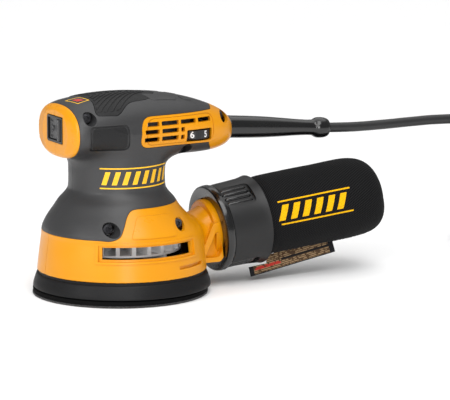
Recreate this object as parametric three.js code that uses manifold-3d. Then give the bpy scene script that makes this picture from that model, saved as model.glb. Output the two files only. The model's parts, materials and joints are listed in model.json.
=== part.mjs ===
// Palm-grip random-orbit sander, 125 mm pad, with a bayonet dust bag and a mains lead.
// Millimetres, +Z up. The motor axis is the Z axis and the sanding face lies on z = 0.
// -X is the switch end, +X the lead and dust bag end, -Y the side with the speed dial.

import * as THREE from "three";
import { mergeVertices } from "three/addons/utils/BufferGeometryUtils.js";
import Module from "manifold-3d";

const wasm = await Module();
wasm.setup();

// Driving dimensions
const GAP = 0.3; // between pieces that touch
const RUN = 0.05; // radial running clearance
const PAD_R = 62.5; // sanding pad radius
const ORBIT = 1.3; // pad axis to motor axis
const DUST_HOLES = 8;
const DUST_HOLE_CIRCLE = 32.5;
const SKIN = 1.5; // overmould thickness
const WALL = 4.2; // outer surface to cavity, behind the overmould
const BASE_Z = 17.5; // lower edge of the housing
const NECK_X = -3.84; // the neck leans forward of the motor axis
const OUTLET = new THREE.Vector3(71.6, 0, 39.5); // centre of the outlet rim
const OUTLET_TILT = THREE.MathUtils.degToRad(6.5);
const RIM_R = 22; // yellow outlet rim
const FAN_R = 42;
const FAN_BLADES = 23;
const CORD_R = 3.6;
const UPPER_BEARING_R = 9.5;
const SPLIT = GAP / 2; // each housing half stops this far from y = 0
const DIAL = { x: 46, y: -19.5, z: 113.8, r: 12.5, height: 6.6 };
const SWITCH = { x: -47.5, z: 120.6, width: 21, height: 14.8 };
const TILT_REST = -8; // degrees, the rocker at its off stop

// Housing screws: axis along y, from the dial side into the far half
const SCREWS = [
  { name: "front_top", x: -39.3, z: 130.6, head: -23, length: 30, recess: 4.6 },
  { name: "rear_top", x: 71.5, z: 123.5, head: -9, length: 16, recess: 4.2 },
  { name: "front_base", x: -29.5, z: 53.5, head: -36, length: 44, recess: 5.2 },
  { name: "rear_base", x: 24, z: 53.5, head: -38, length: 46, recess: 4.4 },
  { name: "grip_under", x: 38, z: 103.2, head: -13, length: 20, recess: 4.4 },
];

// Colours
const finish = (color, roughness, metalness = 0) =>
  new THREE.MeshStandardMaterial({ color, roughness, metalness });
const YELLOW = finish(0xfdb813, 0.42);
const RUBBER = finish(0x2c2c2d, 0.75);
const BLACK = finish(0x161617, 0.4);
const GREY = finish(0x4a4746, 0.7);
const STEEL = finish(0xb9bcc0, 0.35, 1);
const DARK_STEEL = finish(0x3b3d40, 0.5, 1);
const COPPER = finish(0xb8622c, 0.35, 1);
const BRASS = finish(0xc9a24a, 0.35, 1);
const SILVER = finish(0xd9dbdd, 0.4, 0.3);
const FELT = finish(0x3a2d24, 0.95);
const FOAM = finish(0x2a2624, 0.9);
const CLOTH = finish(0x121212, 0.9);
const LABEL = finish(0x6e5138, 0.7);

const root = new THREE.Group();

// ---- shape helpers ----

// A closed three.js geometry as a solid that can be joined and cut.
function solid(geometry) {
  const bare = geometry.index ? geometry.toNonIndexed() : geometry.clone();
  bare.deleteAttribute("normal");
  bare.deleteAttribute("uv");
  const merged = mergeVertices(bare, 1e-4);
  const corners = merged.index.array;
  const kept = [];
  for (let i = 0; i < corners.length; i += 3) {
    const [a, b, c] = corners.slice(i, i + 3);
    if (a !== b && b !== c && c !== a) kept.push(a, b, c);
  }
  const vertProperties = merged.attributes.position.array;
  const build = (triVerts) => new wasm.Manifold(new wasm.Mesh({ numProp: 3, vertProperties, triVerts }));
  const made = build(new Uint32Array(kept));
  if (made.volume() > 0) return made;
  return build(new Uint32Array(kept.reverse()));
}

const join = (...solids) => solids.reduce((a, b) => a.add(b));
// The main body, without the slivers that a cut leaves.
const whole = (made) => made.decompose().reduce((a, b) => (a.volume() > b.volume() ? a : b));
const cut = (from, ...tools) => tools.reduce((a, b) => a.subtract(b), from);

// A solid as a named mesh in the model.
function piece(name, made, material) {
  const { vertProperties, triVerts } = made.getMesh();
  const geometry = new THREE.BufferGeometry();
  geometry.setAttribute("position", new THREE.BufferAttribute(new Float32Array(vertProperties), 3));
  geometry.setIndex(new THREE.BufferAttribute(new Uint32Array(triVerts), 1));
  geometry.computeVertexNormals();
  const mesh = new THREE.Mesh(geometry, material);
  mesh.name = name;
  root.add(mesh);
}

function box(x0, x1, y0, y1, z0, z1) {
  const geometry = new THREE.BoxGeometry(x1 - x0, y1 - y0, z1 - z0);
  return solid(geometry.translate((x0 + x1) / 2, (y0 + y1) / 2, (z0 + z1) / 2));
}

// A body of revolution about a vertical axis at (x, y), from [radius, z] points.
function turned(points, around = 24, x = 0, y = 0) {
  const profile = points.map(([r, z]) => new THREE.Vector2(r, z));
  const closed = points[0][0] > 0 ? [...profile, profile[0]] : profile;
  return solid(new THREE.LatheGeometry(closed, around).rotateX(Math.PI / 2).translate(x, y, 0));
}

const ring = (inner, outer, z0, z1, around = 24, x = 0, y = 0) =>
  turned([[inner, z0], [outer, z0], [outer, z1], [inner, z1]], around, x, y);
const disc = (radius, z0, z1, around = 24, x = 0, y = 0) =>
  turned([[0, z0], [radius, z0], [radius, z1], [0, z1]], around, x, y);

// A cylinder along y.
const crossRod = (radius, x, z, y0, y1, around = 16) =>
  solid(new THREE.CylinderGeometry(radius, radius, y1 - y0, around).translate(x, (y0 + y1) / 2, z));

// An outline in the x-z plane, carried along y.
function sidePrism(shape, y0, y1, curveSegments = 6) {
  const settings = { depth: y1 - y0, bevelEnabled: false, curveSegments };
  return solid(new THREE.ExtrudeGeometry(shape, settings).rotateX(Math.PI / 2).translate(0, y1, 0));
}

// An outline in the x-y plane, carried along z.
function upPrism(shape, z0, z1, curveSegments = 6) {
  const settings = { depth: z1 - z0, bevelEnabled: false, curveSegments };
  return solid(new THREE.ExtrudeGeometry(shape, settings).translate(0, 0, z0));
}

const outline = (points) => new THREE.Shape(points.map(([a, b]) => new THREE.Vector2(a, b)));

function roundedOutline(u0, v0, u1, v1, r) {
  const shape = new THREE.Shape();
  shape.moveTo(u0 + r, v0);
  shape.absarc(u1 - r, v0 + r, r, -Math.PI / 2, 0);
  shape.absarc(u1 - r, v1 - r, r, 0, Math.PI / 2);
  shape.absarc(u0 + r, v1 - r, r, Math.PI / 2, Math.PI);
  shape.absarc(u0 + r, v0 + r, r, Math.PI, Math.PI * 1.5);
  return shape;
}

const both = (make) => join(make(-1), make(1));

// A closed tube: at each level a ring of points, placed by place(level, angle, reach).
function loft(levels, around, place) {
  const profile = [new THREE.Vector2(0, 0)];
  levels.forEach((_, i) => profile.push(new THREE.Vector2(1, i)));
  profile.push(new THREE.Vector2(0, levels.length - 1));
  const geometry = new THREE.LatheGeometry(profile, around);
  const p = geometry.attributes.position;
  for (let i = 0; i < p.count; i++) {
    const reach = Math.round(Math.hypot(p.getX(i), p.getZ(i)));
    const angle = reach ? Math.atan2(p.getX(i), p.getZ(i)) : 0;
    p.setXYZ(i, ...place(levels[Math.round(p.getY(i))], angle, reach));
  }
  return solid(geometry);
}

// A row of values at `at`, smoothly between the rows of a table whose first column rises.
function between(rows, at) {
  const last = rows.length - 1;
  const found = rows.findIndex((row) => row[0] >= at);
  const i = Math.max(1, found < 0 ? last : found);
  const [p0, p1, p2, p3] = [i - 2, i - 1, i, i + 1].map((k) => rows[Math.min(last, Math.max(0, k))]);
  const t = (at - p1[0]) / (p2[0] - p1[0]);
  return p1.map((v, k) => {
    const span = p2[0] - p1[0];
    const m1 = (span * (p2[k] - p0[k])) / (p2[0] - p0[0]);
    const m2 = (span * (p3[k] - p1[k])) / (p3[0] - p1[0]);
    const rise = t * t * (3 - 2 * t);
    return (1 - rise) * v + rise * p2[k] + t * (1 - t) * ((1 - t) * m1 - t * m2);
  });
}

const bend = (value, power) => Math.sign(value) * Math.abs(value) ** power;

// ---- outer form ----

// Grip: [x, bottom z, top z, half width]
const GRIP_ROWS = [
  [-51.6, 103.4, 133.9, 20],
  [-50.7, 101.6, 135.7, 28.5],
  [-48, 100.6, 138, 33.2],
  [-38, 100.3, 140.8, 35.2],
  [-15, 99.7, 143.2, 36],
  [10, 98.8, 143, 35.5],
  [34, 97.8, 140.8, 34],
  [52, 97.6, 136.8, 31],
  [66, 98.5, 132, 26.5],
  [75, 100.6, 127.6, 21.3],
  [80, 103.2, 123.6, 16],
  [81.8, 105, 121.2, 12.5],
];
const GRIP_SQUARE = 2.4; // section exponent: 2 is an ellipse
const GRIP_MIDDLE = 0.47; // height of the widest line, as a share of the section

function grip(inset, around, every = 1) {
  const first = GRIP_ROWS[0][0] + inset;
  const last = GRIP_ROWS[GRIP_ROWS.length - 1][0] - inset;
  const inside = GRIP_ROWS.filter(([x], i) => i % every === 0 && x > first + 0.7 && x < last - 0.7);
  return loft([first, ...inside.map(([x]) => x), last], around, (x, angle, reach) => {
    const [, bottom, top, half] = between(GRIP_ROWS, x);
    const middle = bottom + GRIP_MIDDLE * (top - bottom);
    const c = bend(Math.cos(angle), 2 / GRIP_SQUARE);
    const s = bend(Math.sin(angle), 2 / GRIP_SQUARE);
    const height = (s > 0 ? top - middle : middle - bottom) - inset;
    return [x, -c * reach * (half - inset), middle + s * reach * height];
  });
}

// Bell and neck: [z, radius, centre x, how far the back is drawn out]
const BELL_ROWS = [
  [BASE_Z, 60.4, 0, 0],
  [31, 58.9, 0, 0],
  [43, 57.3, 0, 0],
  [46.5, 56.5, -0.7, 0],
  [50, 54.5, -1.9, 0],
  [56, 50, -3.5, 0],
  [62, 45.3, -4.1, 0],
  [68, 41.3, -4, 0],
  [73, 36.8, -3.9, 0],
  [77, 34.7, NECK_X, 0],
  [91, 34.35, NECK_X, 0.4],
  [96, 34.5, NECK_X, 3],
  [100, 35, NECK_X, 10],
  [105, 34.6, NECK_X, 13],
  [115, 33.6, NECK_X, 14],
];

function bell(inset, around, every = 1, lowest = BASE_Z) {
  const levels = BELL_ROWS.filter((_, i) => i % every === 0 || i === BELL_ROWS.length - 1).map(([z]) => z);
  levels[0] = lowest;
  return loft(levels, around, (z, angle, reach) => {
    const [, radius, centre, drawn] = between(BELL_ROWS, Math.max(z, BASE_Z));
    const r = (radius - inset) * reach;
    const back = 1 + (drawn * Math.max(0, Math.cos(angle))) / radius;
    return [centre + r * Math.cos(angle) * back, r * Math.sin(angle), z];
  });
}

// Shapes drawn about the outlet axis (as +z from the rim plane), put in place.
const OUTLET_FRAME = new THREE.Matrix4()
  .makeTranslation(OUTLET)
  .multiply(new THREE.Matrix4().makeRotationY(Math.PI / 2 - OUTLET_TILT));
const onOutlet = (made) => made.transform(OUTLET_FRAME.elements);

// Duct from the base to the rim: [distance before the rim, half width, up, down]
const DUCT_ROWS = [
  [-32, 30, 17, 16],
  [-20, 21, 14, 17],
  [-6, 18.5, 18, 19.5],
  [-4.4, 20, 20, 20],
];

function duct() {
  const levels = DUCT_ROWS.map((row) => row[0]);
  const body = loft(levels, 20, (s, angle, reach) => {
    const [, half, up, down] = DUCT_ROWS[levels.indexOf(s)];
    const rise = Math.cos(angle) > 0 ? up : down;
    return [-reach * rise * Math.cos(angle), reach * half * Math.sin(angle), s];
  });
  const rim = disc(RIM_R, -4.5, 0, 28);
  const web = sidePrism(outline([[49, 19], [62.5, 47], [69, 48], [72.8, 25], [68, 19]]), -22, 22);
  const pocket = outline([[54.8, 22], [64.2, 41.5], [67, 40], [69.3, 22]]);
  const pockets = both((side) => sidePrism(pocket, side < 0 ? -30 : 17.5, side < 0 ? -17.5 : 30));
  const clear = onOutlet(join(disc(60, 0, 40, 24), ring(RIM_R, 60, -3, 1, 28)));
  return cut(join(onOutlet(body), web.subtract(pockets)), clear).add(onOutlet(rim));
}

const outerForm = () => join(grip(0, 20), bell(0, 32));
const hiddenForm = (inset) => join(grip(inset, 10, 2), bell(inset, 16, 2));

// ---- where the yellow housing reaches the surface ----

// Base colour line: low round the front, stepping up behind the front screws.
function baseZone(grow) {
  const shape = new THREE.Shape();
  shape.moveTo(-90, 5);
  shape.lineTo(110, 5);
  shape.lineTo(110, 66.4 + grow);
  shape.lineTo(-8, 66.4 + grow);
  shape.splineThru([[-13, 65.4], [-17, 61.5], [-21.5, 54.3], [-25.5, 48.8], [-31.5, 46]].map(
    ([x, z]) => new THREE.Vector2(x - grow, z + grow),
  ));
  shape.lineTo(-90, 46.4 + grow);
  return sidePrism(shape, -80, 80, 3);
}

function ventPanelShape(grow) {
  const shape = new THREE.Shape();
  shape.moveTo(-2.5 - grow, 112);
  shape.quadraticCurveTo(-3 - grow, 108.2 - grow, 1, 108.2 - grow);
  shape.lineTo(62, 107.8 - grow);
  shape.lineTo(62, 129.5 + grow);
  shape.lineTo(8, 129.5 + grow);
  shape.quadraticCurveTo(1 - grow, 129.3 + grow, -0.5 - grow, 122);
  return shape;
}

function rearZone(grow) {
  const edge = [-40, -28, -14, 0, 14, 28, 40].map((y) => [66 - 0.0135 * y * y - grow, y]);
  return upPrism(outline([...edge.reverse(), [100, -40], [100, 40]]), 90, 150);
}

function yellowZones(grow) {
  const vents = both((side) => sidePrism(ventPanelShape(grow), side < 0 ? -50 : 18, side < 0 ? -18 : 50));
  const front = box(-60, -48 + grow, -50, 50, 90, 150);
  return join(baseZone(grow), vents, rearZone(grow), front);
}

// ---- cavity ----

function cavity() {
  const room = join(grip(WALL, 10, 2), bell(WALL, 16, 3, 40), baseRoom());
  return cut(room, ...innerStructure());
}

// The fan and dust room inside the base ring, open below, and the bore of the outlet.
function baseRoom() {
  const under = turned([[0, 10], [57.4, 10], [57.4, 20], [55.9, 31], [54.3, 44.5], [0, 44.5]], 20);
  const bore = turned([[0, -40], [12.2, -40], [12.2, -12], [17.5, -4], [17.5, 30], [0, 30]], 16);
  return join(under, onOutlet(bore));
}

// Bulkhead under the motor, stator ribs, upper bearing bridge and screw bosses.
function innerStructure() {
  const bulkhead = ring(20, 54, 44.5, 47, 20);
  const ribs = [45, 135, 225, 315].map((degrees) => {
    const rib = box(25.3, 45, -1.2, 1.2, 62, 94);
    return rib.rotate([0, 0, degrees]);
  });
  const bridge = cut(box(-14, 14, -40, 40, 110, 117), disc(UPPER_BEARING_R + RUN, 100, 130, 16));
  const bosses = SCREWS.map(({ x, z }) => crossRod(4, x, z, -60, 60, 8));
  return [bulkhead, ...ribs, bridge, ...bosses];
}

// ---- openings in the shell ----

// A sector of a flat ring, the plan of the air slot on one side.
function slotSector(inner, outer, from, to) {
  const shape = new THREE.Shape();
  shape.absarc(0, 0, outer, THREE.MathUtils.degToRad(from), THREE.MathUtils.degToRad(to), false);
  shape.absarc(0, 0, inner, THREE.MathUtils.degToRad(to), THREE.MathUtils.degToRad(from), true);
  return shape;
}

function airSlots() {
  const through = upPrism(slotSector(45, 70, -130, -58), 33.4, 42, 3);
  const bevel = upPrism(slotSector(57, 70, -132.5, -55.5), 31.9, 43.3, 6);
  const near = join(through, bevel);
  return join(near, near.mirror([0, 1, 0]));
}

// Vent slots, [height, spans], in three rows, the lower two cut short on the dial side by its window.
const DIAL_SIDE_VENTS = [
  [124.3, [[3.4, 12.8], [14.6, 28.6], [30.3, 43], [45, 56.4]]],
  [119, [[1.2, 12.6], [14.8, 28.4], [30.4, 33.6]]],
  [113.6, [[0.6, 12.6], [14.8, 28.4], [30.4, 33.6]]],
];
const FAR_SIDE_VENTS = DIAL_SIDE_VENTS.map(([z]) => [z, [[3.4, 28.6], [30.4, 55]]]);

function ventSlots() {
  const cuts = (rows, y0, y1) =>
    rows.flatMap(([z, spans]) => spans.map(([x0, x1]) => box(x0, x1, y0, y1, z - 1.6, z + 1.6)));
  return join(...cuts(DIAL_SIDE_VENTS, -45, -20), ...cuts(FAR_SIDE_VENTS, 20, 45));
}

function screwRecesses() {
  return join(...SCREWS.map(({ x, z, head, recess }) => crossRod(recess, x, z, -70, head, 12)));
}

function switchOpening() {
  const half = SWITCH.width / 2 + 2;
  const tall = SWITCH.height / 2 + 2.2;
  return box(-70, -40, -half, half, SWITCH.z - tall, SWITCH.z + tall);
}

function screwBores() {
  return join(...SCREWS.map(({ x, z, head, length }) => crossRod(2.2, x, z, head - 5, head + length + 1, 6)));
}

// ---- housing ----

const outer = outerForm();
const deep = hiddenForm(SKIN);
const under = hiddenForm(SKIN + GAP);
const openings = join(
  airSlots(),
  ventSlots(),
  screwRecesses(),
  screwBores(),
  box(35.3, 56.7, -45, -20, DIAL.z - 4.4, DIAL.z + 4.2),
  disc(DIAL.r + 0.4, DIAL.z - 3.8, DIAL.z + 3.8, 24, DIAL.x, DIAL.y),
  switchOpening(),
  strainBore(),
);
const slack = box(-200, 200, -SPLIT, SPLIT, -50, 200);
const nearSide = box(-200, 200, -200, -SPLIT, -50, 200);
const farSide = box(-200, 200, SPLIT, 200, -50, 200);

function strainBore() {
  return strainAxis(join(disc(8.2, -8, 6, 12), disc(10.6, -8.8, -4.9, 12)));
}

// The strain relief points back and a little down from the end of the grip.
function strainAxis(made) {
  return made.rotate([0, 94.5, 0]).translate([81.8, 0, 112.8]);
}

function housing() {
  const surface = join(outer, duct()).intersect(yellowZones(0));
  const lugs = onOutlet(ring(17.5, 19.4, -1, 17, 20));
  const tabs = both((side) => onOutlet(bayonetTab(side)));
  const walls = cut(join(surface, under, lugs), cavity(), openings);
  return cut(join(walls, tabs), sideNotch(), slack);
}

// The two lugs of the outlet spigot that the bag collar turns behind.
function bayonetTab(side) {
  const lug = upPrism(slotSector(18.6, 21.6, -12, 12), 10, 12.5, 3);
  return lug.rotate([0, 0, side * 90]);
}

// A narrow shadow slot low on the base ring, both sides.
function sideNotch() {
  return both((side) => box(57.6, 70, -12, 12, 23.6, 26).rotate([0, 0, side * 60]));
}

const shell = housing();
piece("housing_left", shell.intersect(nearSide), YELLOW);
piece("housing_right", shell.intersect(farSide), YELLOW);

function overmould() {
  const front = box(-60, -48, -50, 50, 90, 150);
  return cut(outer, deep, yellowZones(GAP), palmZone(GAP), screwRecesses(), front, slack);
}

// The ribbed palm panel on the crown, an arrow that points back.
function palmZone(grow) {
  const nose = [-31 - grow, 0];
  const tail = [24 + grow, 0];
  const half = [
    nose, [-30 - grow, -16], [-34.4 - grow, -31], [-17, -32.8 - grow], [-5, -23.5 - grow], [11, -20.5 - grow],
    tail,
  ];
  const mirror = half.slice(1, -1).reverse().map(([x, y]) => [x, -y]);
  return upPrism(outline([...half, ...mirror]), 130 - grow, 160);
}

const rubber = overmould();
piece("grip_cover_left", whole(rubber.intersect(nearSide)), RUBBER);
piece("grip_cover_right", whole(rubber.intersect(farSide)), RUBBER);
piece("palm_pad", whole(cut(grip(-0.5, 28).intersect(palmZone(0)), deep, screwRecesses())), RUBBER);

for (const { name, x, z, head, length } of SCREWS) {
  const seat = head - GAP;
  const cap = crossRod(3.4, x, z, seat - 2.4, seat, 12);
  const shank = crossRod(1.9, x, z, seat - 1, head + length, 6);
  const drive = crossRod(1.7, x, z, seat - 4, seat - 1.2, 6);
  piece(`housing_screw_${name}`, cut(join(cap, shank), drive), DARK_STEEL);
}

// ---- switch ----

// The rocker tips about the upright pin at SWITCH.x; its two faces meet in a shallow V.
function rocker() {
  const half = SWITCH.width / 2 - 1.1;
  const front = [[-4.8, -half], [-3, 0], [-4.8, half]];
  const back = [[1.2, half - 1.6], [2.4, 0], [1.2, 1.6 - half]];
  const face = outline([...front, ...back]);
  const tall = SWITCH.height / 2;
  const groove = both((side) => {
    const at = side * (tall - 2.6);
    return box(-6, -4.1, 2 - half, half - 2, at - 0.6, at + 0.6);
  });
  const cap = cut(upPrism(face, -tall, tall), groove);
  return join(cap, disc(1.5, -tall - 0.9, tall + 0.9, 12));
}

function switchFrame() {
  const half = SWITCH.width / 2 + 0.4;
  const tall = SWITCH.height / 2 + 0.4;
  const rim = 1.4;
  const body = box(-4.6, 4, -half - rim, half + rim, -tall - rim, tall + rim);
  const hole = box(-9, 9, -half, half, -tall, tall);
  return cut(body, hole, disc(1.5 + RUN, -tall - 3, tall + 3, 12));
}

piece("switch_rocker", rocker().rotate([0, 0, TILT_REST]).translate([SWITCH.x, 0, SWITCH.z]), GREY);
piece("switch_frame", switchFrame().translate([SWITCH.x, 0, SWITCH.z]), BLACK);
piece("switch_body", join(
  box(SWITCH.x + 4.3, -26, -10.5, 10.5, 113.4, 126.2),
  box(-26.5, -23.5, -7, -5, 118, 126),
  box(-26.5, -23.5, 5, 7, 118, 126),
), BLACK);

// ---- speed control ----

function speedDial() {
  const { x, y, z, r, height } = DIAL;
  const low = z - height / 2;
  const wheel = ring(2.1, r, low, low + height, 24, x, y);
  const knurl = [...Array(3).keys()].map((i) => {
    const turn = THREE.MathUtils.degToRad(-98 + i * 8);
    const reach = r + 0.1;
    return disc(0.6, low - 1, low + height + 1, 5, x + reach * Math.cos(turn), y + reach * Math.sin(turn));
  });
  return cut(wheel, ...knurl);
}

piece("speed_dial", speedDial(), BLACK);
piece("speed_module", join(
  box(30, 52, -5.5, 18, 107.5, 126),
  box(40, 52, -21.7, -5, 108.6, 110),
  disc(2.1 - RUN, 109, 118.5, 16, DIAL.x, DIAL.y),
), GREY);

// ---- motor ----

const STACK = { low: 63, high: 92.8 };
const coilWindows = both((side) => both((end) => {
  const window = box(-2.3, 2.3, -2.3, 2.3, 50, 110);
  return window.translate([end * 11.5, side * 17.6, 0]);
}));

piece("stator_core", cut(ring(15.2, 25, STACK.low, STACK.high, 20), coilWindows), DARK_STEEL);

// A racetrack coil that links one pole of the stator through its two windows.
function fieldCoil(side) {
  const loop = roundedOutline(-13.5, STACK.low - 4.4, 13.5, STACK.high + 4.4, 3);
  loop.holes.push(roundedOutline(-9.5, STACK.low - 0.4, 9.5, STACK.high + 0.4, 1));
  return side < 0 ? sidePrism(loop, -19.6, -15.6, 2) : sidePrism(loop, 15.6, 19.6, 2);
}

piece("field_coil_left", fieldCoil(-1), COPPER);
piece("field_coil_right", fieldCoil(1), COPPER);

// A toothed disc outline: teeth of `reach` over a root circle.
function toothedOutline(teeth, root, tip, share) {
  const points = [];
  for (let i = 0; i < teeth; i++) {
    const at = (offset, radius) => {
      const turn = ((i + offset) / teeth) * Math.PI * 2;
      points.push([radius * Math.cos(turn), radius * Math.sin(turn)]);
    };
    at(0, tip);
    at(share, tip);
    at(share, root);
    at(1, root);
  }
  return outline(points);
}

const SHAFT_R = 5;
const SHAFT_TOP_R = 3.5;
const COMMUTATOR = { r: 9.5, low: 98, high: 108 };
const SHAFT_SIDES = 16;
const shaftBore = (radius) => disc(radius, 0, 130, SHAFT_SIDES);
// A bore whose flats clear the corners of a faceted shaft at any angle.
const turningBore = (radius) => radius / Math.cos(Math.PI / SHAFT_SIDES) + RUN;

piece("armature_core", cut(
  upPrism(toothedOutline(10, 11, 14.6, 0.72), 64, 91),
  shaftBore(SHAFT_R + GAP),
), STEEL);
const winding = [[SHAFT_R + 0.4, 57.4], [11, 57.4], [13.6, 60], [13, 63.7], [SHAFT_R + 0.4, 63.7]];
const windingAbove = winding.map(([r, z]) => [r, 155 - z]);
piece("armature_winding_lower", turned(winding, 16), COPPER);
piece("armature_winding_upper", turned(windingAbove, 16), COPPER);
piece("commutator", cut(
  upPrism(toothedOutline(10, COMMUTATOR.r - 0.8, COMMUTATOR.r, 0.85), COMMUTATOR.low, COMMUTATOR.high),
  shaftBore(SHAFT_TOP_R + GAP),
), COPPER);
piece("motor_shaft", turned([[0, 21.4], [4, 21.4], [4, 43.6], [SHAFT_R, 43.6], [SHAFT_R, 97.6],
  [SHAFT_TOP_R, 97.6], [SHAFT_TOP_R, 117.6], [0, 117.6]], 16), STEEL);

// A sealed ball bearing as one ring, its shield a little below the races.
const bearing = (bore, outside, z0, z1, x = 0) => turned([
  [bore, z0], [outside, z0], [outside, z1], [outside - 1.8, z1 - 0.5], [bore + 1.8, z1 - 0.5], [bore, z1],
], 16, x);

piece("upper_bearing", bearing(turningBore(SHAFT_TOP_R), UPPER_BEARING_R, 110.2, 116.2), STEEL);
piece("lower_bearing", bearing(turningBore(SHAFT_R), 13, 48.6, 55.2), STEEL);
piece("bearing_plate", turned([
  [8, 47.3], [22.7, 47.3], [22.7, 49.2], [15.6, 49.2], [15.6, 55.6],
  [13 + RUN, 55.6], [13 + RUN, 48.3], [8, 48.3],
], 16), DARK_STEEL);

// Brush gear, one set on each side of the commutator.
for (const [side, label] of [[-1, "left"], [1, "right"]]) {
  const across = (y0, y1) => (side < 0 ? [-y1, -y0] : [y0, y1]);
  const tube = box(-4.6, 4.6, ...across(12, 27.8), 98.4, 107.6);
  const holder = cut(tube, box(-3.3, 3.3, ...across(10, 27.3), 99.7, 106.3));
  piece(`brush_holder_${label}`, holder, BRASS);
  piece(`carbon_brush_${label}`, box(-3, 3, ...across(COMMUTATOR.r + GAP, 20.5), 100, 106), GREY);
  piece(`brush_spring_${label}`, brushSpring(side, 20.9, 27), STEEL);
}

function brushSpring(side, from, to) {
  const turns = 3;
  class Coil extends THREE.Curve {
    getPoint(t, target = new THREE.Vector3()) {
      const turn = t * turns * Math.PI * 2;
      return target.set(2.2 * Math.cos(turn), side * (from + (to - from) * t), 103 + 2.2 * Math.sin(turn));
    }
  }
  const wire = new THREE.Shape();
  wire.absarc(0, 0, 0.35, 0, Math.PI * 2);
  const extrudePath = new Coil();
  return solid(new THREE.ExtrudeGeometry(wire, { steps: turns * 7, curveSegments: 2, extrudePath }));
}

// ---- fan, eccentric and pad drive ----

function fan() {
  const plate = turned([
    [4 + RUN, 24.8], [9, 24.8], [9, 30], [FAN_R, 31.8], [FAN_R, 33.2], [9, 33.4], [9, 43], [4 + RUN, 43],
  ], 21);
  const blades = (count, inner, outer, z0, z1) => [...Array(count).keys()].map((i) =>
    box(inner, outer, -0.7, 0.7, z0, z1).rotate([0, 0, (i * 360) / count + 4]));
  const cooling = blades(FAN_BLADES, 20, FAN_R - 0.4, 32.8, 42.6);
  const extraction = blades(5, 22, FAN_R - 2, 23, 32);
  return join(plate, ...cooling, ...extraction);
}

piece("fan", fan(), SILVER);
piece("fan_baffle", ring(FAN_R + 1, 54.4, 27.6, 29.2, 20), BLACK);

const PAD_BEARING_R = 13;
function eccentric() {
  const cup = disc(17, 12.6, 24.4, 24);
  const lobe = upPrism(slotSector(10, 30, -70, 70), 14.5, 21, 6);
  const pocket = disc(PAD_BEARING_R + RUN, 5, 20.6, 16, -ORBIT);
  return cut(join(cup, lobe), pocket, disc(4 + RUN, 15, 30, 16));
}

piece("eccentric_weight", eccentric(), STEEL);
piece("pad_bearing", bearing(turningBore(SHAFT_R), PAD_BEARING_R, 13, 20, -ORBIT), STEEL);

const PAD_SCREW_CIRCLE = 12;
const aroundPad = (count, radius, make, phase = 0) => [...Array(count).keys()].map((i) => {
  const turn = (i / count) * Math.PI * 2 + phase;
  return make(radius * Math.cos(turn) - ORBIT, radius * Math.sin(turn));
});
const padScrewPlaces = (make) => aroundPad(3, PAD_SCREW_CIRCLE, make, Math.PI / 6);
const padHoles = aroundPad(DUST_HOLES, DUST_HOLE_CIRCLE, (x, y) => disc(5, -1, 12, 6, x, y), Math.PI / 8);
const accessHoles = padScrewPlaces((x, y) => disc(4.2, -1, 6.3, 6, x, y));

piece("pad_hub", cut(
  turned([
    [0, 9.8], [18, 9.8], [18, 11.8], [SHAFT_R + 1.5, 11.8], [SHAFT_R + 1.5, 12.7], [SHAFT_R, 12.7],
    [SHAFT_R, 20.2], [0, 20.2],
  ], 16, -ORBIT),
  ...padScrewPlaces((x, y) => disc(2, 5, 15, 6, x, y)),
), STEEL);
piece("backing_plate", cut(
  turned([[0, 6.5], [56, 6.5], [54, 9.5], [0, 9.5]], 24, -ORBIT),
  ...padHoles,
  ...padScrewPlaces((x, y) => disc(2.2, 5, 15, 6, x, y)),
), BLACK);
piece("foam_pad", cut(
  turned([[0, 1.7], [PAD_R, 1.7], [PAD_R, 4.4], [57.2, 6.2], [0, 6.2]], 32, -ORBIT),
  ...padHoles,
  ...accessHoles,
), FOAM);
piece("hook_face", cut(disc(PAD_R, 0, 1.4, 32, -ORBIT), ...padHoles, ...accessHoles), FELT);
const padScrew = (x, y) => join(disc(3.6, 3.9, 6.2, 8, x, y), disc(1.7, 6, 11.6, 6, x, y));
padScrewPlaces(padScrew).forEach((screw, i) => piece(`pad_screw_${i + 1}`, screw, DARK_STEEL));

// Rubber skirt under the base ring, flared over the pad.
piece("skirt", turned([[61.4, 5.5], [63.3, 5.7], [63, 8.4], [60.9, 14.8], [59.4, 15.4], [59.4, 17.2],
  [56.2, 17.2], [56.2, 23.5], [54.6, 23.5], [54.6, 16], [61.2, 7.6]], 28), GREY);

// ---- dust bag, drawn along the outlet axis with z = 0 at the rim plane ----

function collar() {
  const sleeve = turned([
    [RIM_R + 0.5, -2.5], [31, -2.5], [31.4, 3], [30.4, 4.2], [31.2, 28], [32.4, 34], [28.2, 34], [28.2, 30.2],
    [27.2, 30.2], [27.2, 26.6], [24.8, 26.6], [24.8, 9.6], [20.2, 9.6], [20.2, 6], [RIM_R + 0.5, 6],
  ], 24);
  const entries = both((side) => upPrism(slotSector(15, 22.4, -17, 17), 5, 11, 2).rotate([0, 0, side * 90]));
  return cut(sleeve, entries, ...gripPockets());
}

// Three recessed finger pads round the collar.
function gripPockets() {
  return [95, 215, 335].map((turn) => box(29, 40, -9.5, 9.5, 6, 27).rotate([0, 0, turn]));
}

piece("bag_collar", onOutlet(collar()), BLACK);
piece("bag_mouth_ring", onOutlet(turned([
  [20.5, 19], [24.2, 19], [24.2, 27], [26.6, 27], [26.6, 29.8], [24, 29.8], [24, 40], [20.5, 40],
], 18)), BLACK);

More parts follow.
